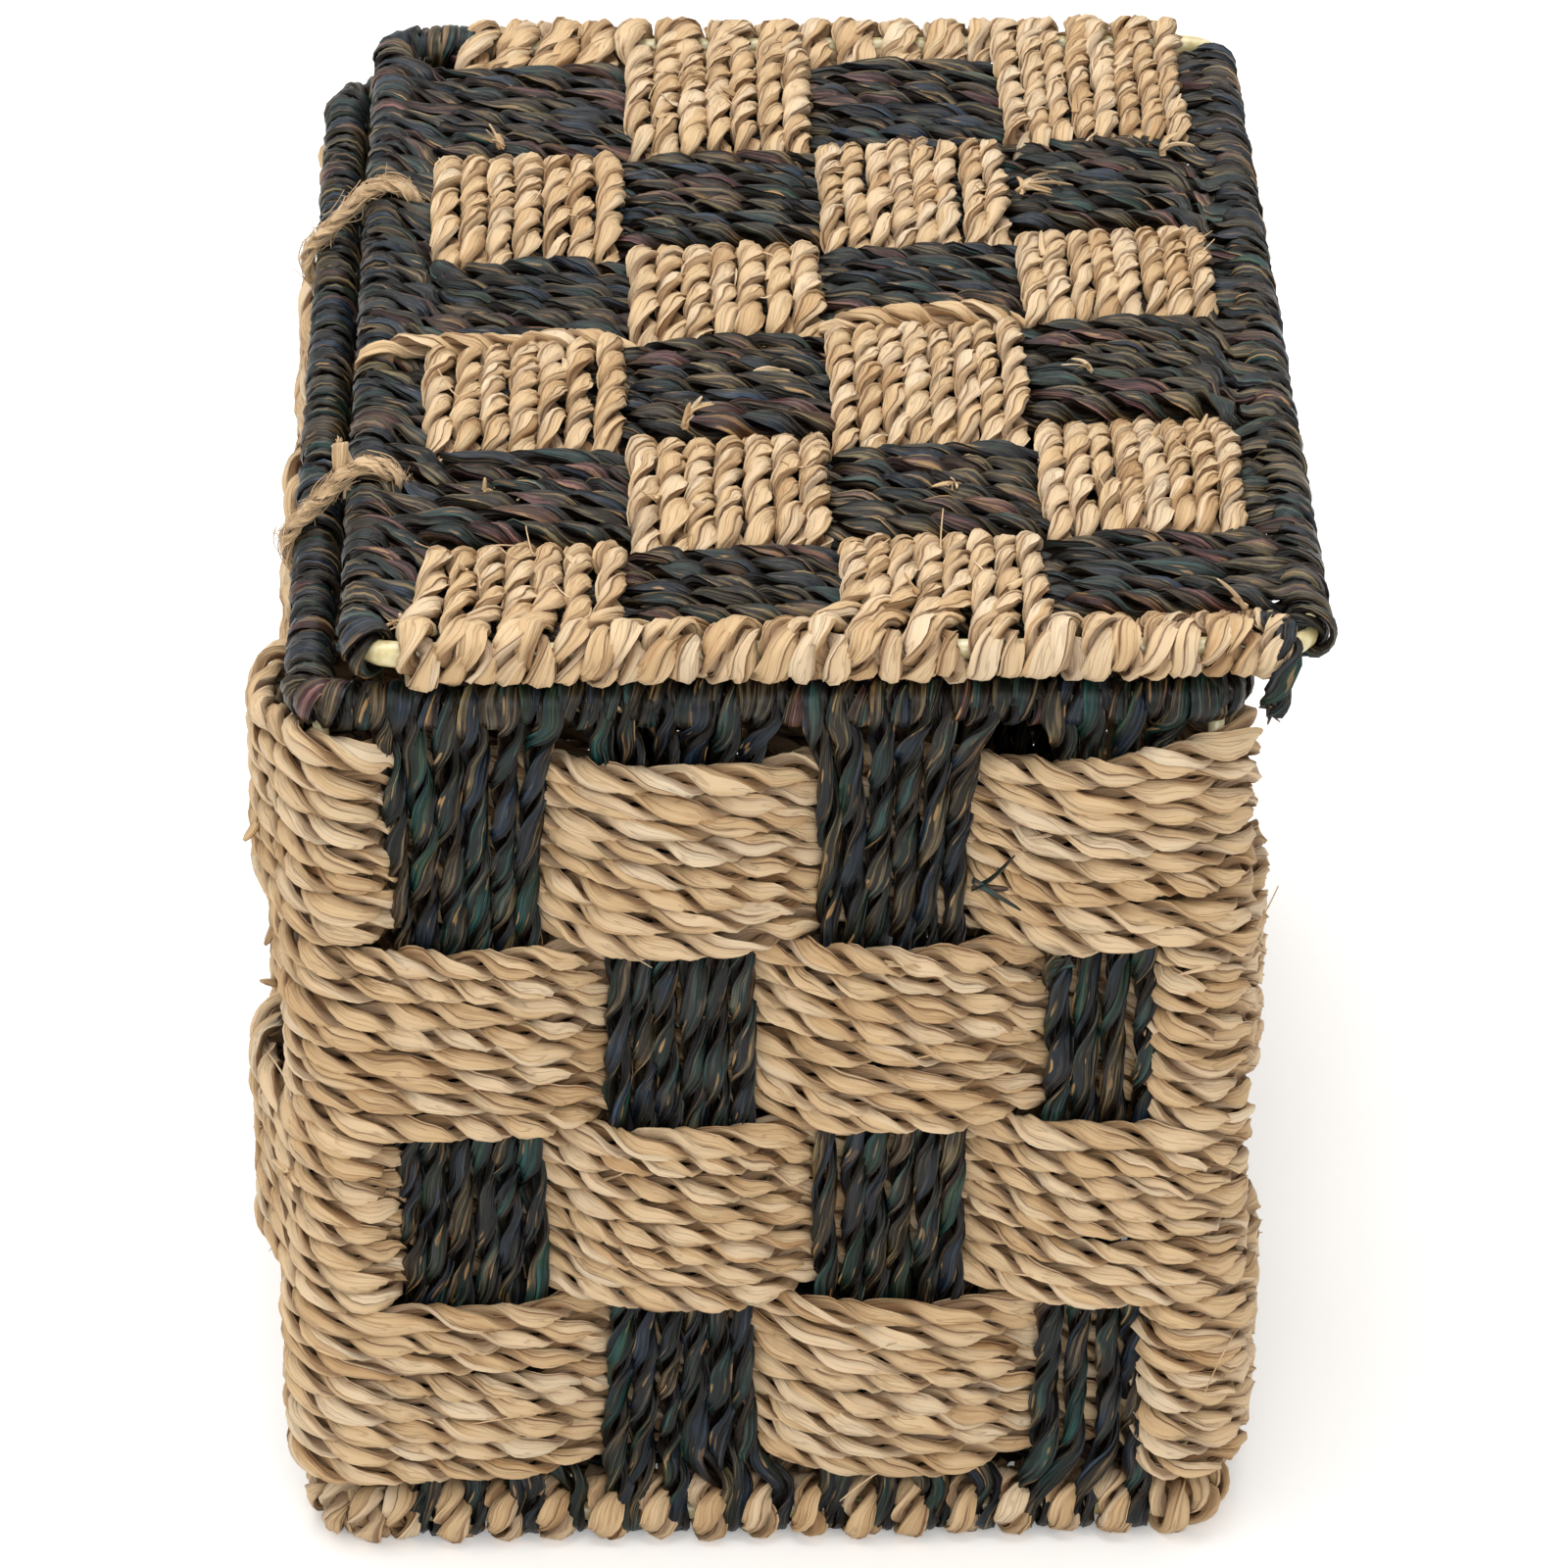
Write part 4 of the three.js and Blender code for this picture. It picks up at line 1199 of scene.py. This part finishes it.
def add_wire(name, points, closed, body, *nodes, radius=wire_radius):
    """A round wire along points, as one closed mesh."""
    points = np.asarray(points, float)
    if closed:
        heading = np.roll(points, -1, axis=0) - np.roll(points, 1, axis=0)
    else:
        heading = np.gradient(points, axis=0)
    heading = unit_rows(heading)
    upright = abs(heading[0][2]) >= 0.9
    side = unit_rows(np.cross(heading, (1.0, 0, 0) if upright else (0, 0, 1.0)))
    other = np.cross(side, heading)
    angle = np.linspace(0, 2 * math.pi, wire_sides, endpoint=False)
    radius = np.broadcast_to(radius, len(points))[:, None, None]
    grid = points[:, None, :] + radius * (
        np.cos(angle)[None, :, None] * side[:, None, :] + np.sin(angle)[None, :, None] * other[:, None, :]
    )
    rings = len(points)
    faces = []
    for i in range(rings if closed else rings - 1):
        for j in range(wire_sides):
            k = (j + 1) % wire_sides
            n = (i + 1) % rings
            quad = [(i, j), (i, k), (n, k), (n, j)]
            faces.append([ring * wire_sides + place for ring, place in quad])
    if not closed:
        faces.append(list(reversed(range(wire_sides))))
        faces.append([(rings - 1) * wire_sides + j for j in range(wire_sides)])
    mesh = bpy.data.meshes.new(name)
    mesh.from_pydata((grid.reshape(-1, 3) * MM).tolist(), [], faces)
    mesh.shade_smooth()
    mesh.materials.append(enamel)
    made = bpy.data.objects.new(name, mesh)
    bpy.context.collection.objects.link(made)
    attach(made, body)
    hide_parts(*nodes)


ring_steps = np.linspace(0, perimeter, 320, endpoint=False)
add_wire("rim_ring_wire", basket_place(ring_steps, 0, rim_height), True, "basket", "rim_wire")
add_wire("base_ring_wire", basket_place(ring_steps, 0, base_height), True, "basket", "base_wire")
lid_perimeter = 4 * (lid_half_x + lid_half_y - 2 * lid_bend) + 2 * math.pi * lid_bend
lid_steps = np.linspace(0, lid_perimeter, 360, endpoint=False)
from_joint = (lid_steps + 0.5 * lid_perimeter) % lid_perimeter - 0.5 * lid_perimeter
lid_wire_radius = wire_radius + joint_paint * np.exp(-((from_joint / joint_reach) ** 2))
lid_ring = lid_place(lid_steps, 0, lid_height)
add_wire("lid_ring_wire", lid_ring, True, "lid", "lid_wire", radius=lid_wire_radius)
for i in range(4):
    t = wall_starts[i] + straights[i] + bend_length / 2
    ends = basket_place(np.array([t, t]), 0, np.array([rim_height - 2.4, base_height + 2.4]))
    post = np.linspace(ends[0], ends[1], 12)
    add_wire(f"corner_post_wire_{i + 1}", post, False, "basket", f"corner_post_{i + 1}", radius=post_radius)


# Ties: two pieces of soft jute twine, each wound twice round the rim wire and the lid's hinge wire, close
# to the turns of rope on them. The near one is knotted, with its cut end standing up.
tie_radius = 7.15
twine_rope = {"loose": 0.5, "step": 0.9, "lip": 0.5}
tie_turns = 2
half_turn_points = 24
lap_points = 4
hairs_on_tie = 110
fibres_on_tie = 300
hair_width = 0.2
hair_thickness = 0.14
rim_x = base_centre_x - half_width
hinge_x = lid_x - lid_half_x


def jute_look():
    """Jute twine, spun and unbleached: matt, hairy and golden tan, with fine fibres along each ply and
    painted brown shade in its folds.
    """
    made, tree, place, (_, fold_shade_mask, _, _) = rope_look("jute_twine_spun")
    # Fibres are about 0.3 mm across and 12 mm long.
    fibre = noise_of(tree, place, 90, 3200, 3, 0.65)
    tan = ramp_of(tree, fibre, (0.3, "#A08059"), (0.5, "#C6A67C"), (0.72, "#DDC6A0"))
    # Painted shade: brown where a ply folds under or lies against the other
    colour = layered(tree, tan, [(math_of(tree, "MULTIPLY", fold_shade_mask, 0.5), "#6E5230")])
    finish_look(tree, colour, 0.85, fibre, 0.6, 0.3, {"Sheen Weight": 0.3})
    return made


jute = (jute_look(), "jute_twine")

lean = math.atan2(lid_height - rim_height, hinge_x - rim_x)
for name, y in [("near", tie_places[0]), ("far", tie_places[1])]:
    rng = np.random.default_rng(3000 + int(y > 0))
    lower = np.radians(np.linspace(90, 270, half_turn_points)) + lean
    upper = np.radians(np.linspace(-90, 90, half_turn_points)) + lean
    halves = [(rim_x, rim_height, lower), (hinge_x, lid_height, upper)]
    ring = np.concatenate(
        [np.column_stack([x + tie_radius * np.cos(a), z + tie_radius * np.sin(a)]) for x, z, a in halves]
    )
    # The turns start and end low on the rim wire's outside, where the last one laps over the first.
    quarter = half_turn_points // 2
    turns = np.roll(np.tile(ring, (tie_turns, 1)), -quarter, axis=0)
    ring = np.concatenate([turns, ring[quarter : quarter + lap_points]])
    level = np.linspace(y - 1.3, y + 1.3, len(ring)) + 0.3 * wander(rng, np.arange(len(ring)), 7)
    route = eased(flat_route(np.column_stack([ring[:, 0], level, ring[:, 1]]), 0.8, 1.1), 1.2)
    twine = [lay_rope(rng, route, (0, 1, 0), width=3.8, lay=11, **twine_rope)]
    if name == "near":
        end_points = [
            (-96.4, y + 0.4, 229.5),
            (-97.2, y + 1.6, 232.5),
            (-98.2, y + 4.0, 236.5),
            (-98.8, y + 6.2, 239.6),
        ]
        end_route = eased(flat_route(end_points), 1.0)
        twine.append(lay_rope(rng, end_route, (1, 0, 0), width=4.2, lay=16, **twine_rope))
        twine += frayed_end(rng, end_points[-1], (-0.1, 0.6, 0.8), (0, 0, 0), 14, 1.6, 0.5)
    # Fibres of the jute lie loosely along the twine, and short hairs stand off it.
    _, run = spaced(route[:, :3], 1.0)
    along_route = np.linspace(0, run[-1], len(route))
    track = np.column_stack([np.interp(run, along_route, route[:, i]) for i in range(3)])
    for _ in range(fibres_on_tie):
        length = rng.integers(6, 15)
        first = rng.integers(0, len(track) - length)
        part = track[first : first + length]
        about = rng.normal(0, 1, 3)
        about *= rng.uniform(1.5, 2.3) / np.linalg.norm(about)
        stray = rng.normal(0, 0.8, 3) * np.linspace(-1, 1, length)[:, None] ** 2
        stray += rng.normal(0, 0.5, 3) * np.sin(np.linspace(0, rng.uniform(3, 8), length))[:, None]
        twine.append(lay_leaf(rng, part + about + stray, rng.uniform(0.2, 0.36), hair_thickness, tip=0.5))
    for _ in range(hairs_on_tie):
        start = route[rng.integers(0, len(route)), :3] + rng.normal(0, 0.7, 3)
        heading = rng.normal(0, 1, 3) * (1, 1.3, 1)
        heading /= np.linalg.norm(heading)
        length = rng.uniform(1.2, 3.4)
        bend = rng.normal(0, 0.5, 3)
        share = np.linspace(0, 1, 6)[:, None]
        hair = start + length * (heading * share + bend * share**2)
        twine.append(lay_leaf(rng, hair, hair_width, hair_thickness))
    add_piece(f"tie_twine_{name}", twine, jute, "ties", f"tie_{name}")


# Frayed ends: where a new length of leaf was twisted into a rope, the ends of the old and the new stand
# out. Each entry gives a place, the way the ends leave it, the way they bend, how many there are, and their
# length and width.
lid_frays = [
    ((-65.5, 85, 236), (-0.3, 0.5, 0.8), (0, 0.4, -0.6), 6, 6, 1.8),
    ((92, 79, 236), (0.2, 0.4, 0.9), (0.4, 0, -0.5), 6, 6, 1.6),
    ((57.7, 58, 236.5), (0.4, 0.3, 0.8), (0.8, 0, -0.6), 8, 8, 1.5),
    ((-22.7, -57, 236.5), (0, 0.5, 0.9), (0.5, 0, -0.4), 7, 7, 1.5),
    ((68.3, -32.5, 236), (-0.3, 0.3, 0.9), (-0.5, 0, -0.6), 6, 7, 1.6),
    ((-0.5, -30.4, 235), (-0.9, 0.1, 0.3), (-0.3, 0, -0.3), 2, 9, 2.0),
    ((36, -85, 235.5), (-0.2, -0.5, 0.8), (0, -0.5, -0.5), 5, 6, 1.6),
    ((-67, -84, 233.5), (0.6, -0.4, 0.6), (0, -0.4, -0.4), 4, 5, 1.7),
    ((-58, -86, 233.5), (-0.2, -0.5, 0.7), (0, -0.3, -0.6), 3, 5, 1.5),
    ((-52, -86, 233.5), (0.1, -0.6, 0.6), (0, -0.3, -0.6), 3, 4, 1.5),
    ((94.8, -136, 233.5), (-0.6, -0.3, 0.6), (-0.3, 0, -0.3), 3, 7, 1.4),
    ((-83, -140, 233), (-0.5, -0.2, 0.8), (-0.4, 0, -0.4), 7, 5, 1.6),
]
add_piece("lid_frayed_ends", frayed_ends(4000, lid_frays), natural, "lid")

dark_frays = [
    ((39, -160.2, 178.5), (0.9, -0.12, -0.05), (-0.1, 0.1, 0.1), 3, 10, 2.0),
    ((57, -160.4, 159), (-0.55, -0.1, -0.8), (0.2, 0.1, 0), 3, 11, 2.8),
]
add_piece("wall_frayed_dyed_ends", frayed_ends(4100, dark_frays), dyed, "basket")

# On the walls and the lid, at random: single fibres, and short flaps of leaf that lift from a light rope
fibre_width = 0.45
tries_on_walls = 190
tries_on_lid = 130


def loose_leaf(rng, place, along, away, rise, fibre_lengths, flap_lengths, flap_widths):
    """A fibre or a flap, each as likely, that lies along a rope and lifts away from it towards its end."""
    fibre = rng.random() < 0.5
    length = rng.uniform(*fibre_lengths) if fibre else rng.uniform(*flap_lengths)
    share = np.linspace(-0.2, 1, 8)[:, None]
    lift = away * (rise * np.maximum(share, 0) + rng.uniform(-0.1, 0.35) * length * share**2)
    curve = place + length * share * along + lift + rng.normal(0, 0.8, 3) * share**2
    return lay_leaf(rng, curve, fibre_width if fibre else rng.uniform(*flap_widths), leaf_thickness)


rng = np.random.default_rng(4200)
parts = frayed_end(rng, (-111.5, -151, 101), (-0.3, -0.8, 0), (0.6, 0, -0.5), 9, 6, 1.8)
for _ in range(tries_on_walls):
    row = rng.integers(0, 4)
    t = rng.uniform(0, perimeter)
    out = band_offsets(row, np.array([t]))[0]
    # Nothing grows where the band runs behind a group of stakes.
    if out < 2:
        continue
    height = band_heights[row] + rng.uniform(-22, 22)
    here, there = basket_place(np.array([t, t + 1]), out + 1.8, height)
    away = basket_place(np.array([t]), out + 2.8, height)[0] - here
    along = (there - here) * rng.choice([-1, 1])
    slope = np.array([0, 0, rng.uniform(-0.7, 0.5)])
    parts.append(loose_leaf(rng, here, along + slope, away, 1.3, (6, 13), (4, 8), (1.4, 2.6)))
add_piece("wall_loose_fibres", parts, natural, "basket")

rng = np.random.default_rng(4300)
parts = []
for _ in range(tries_on_lid):
    column, row = rng.integers(0, 4), rng.integers(0, 6)
    if (column + row) % 2:
        continue
    x = lid_columns[column] + rng.uniform(-19, 19)
    here = np.array([x, row_middle(row, x) + rng.uniform(-16, 16), lid_height + 6.2])
    heading = rng.uniform(-math.pi, math.pi)
    along = np.array([0.6 * math.cos(heading), math.sin(heading), 0])
    parts.append(loose_leaf(rng, here, along, np.array([0, 0, 1]), 1.4, (5, 10), (3, 6), (1.4, 2.4)))
add_piece("lid_loose_fibres", parts, natural, "lid")
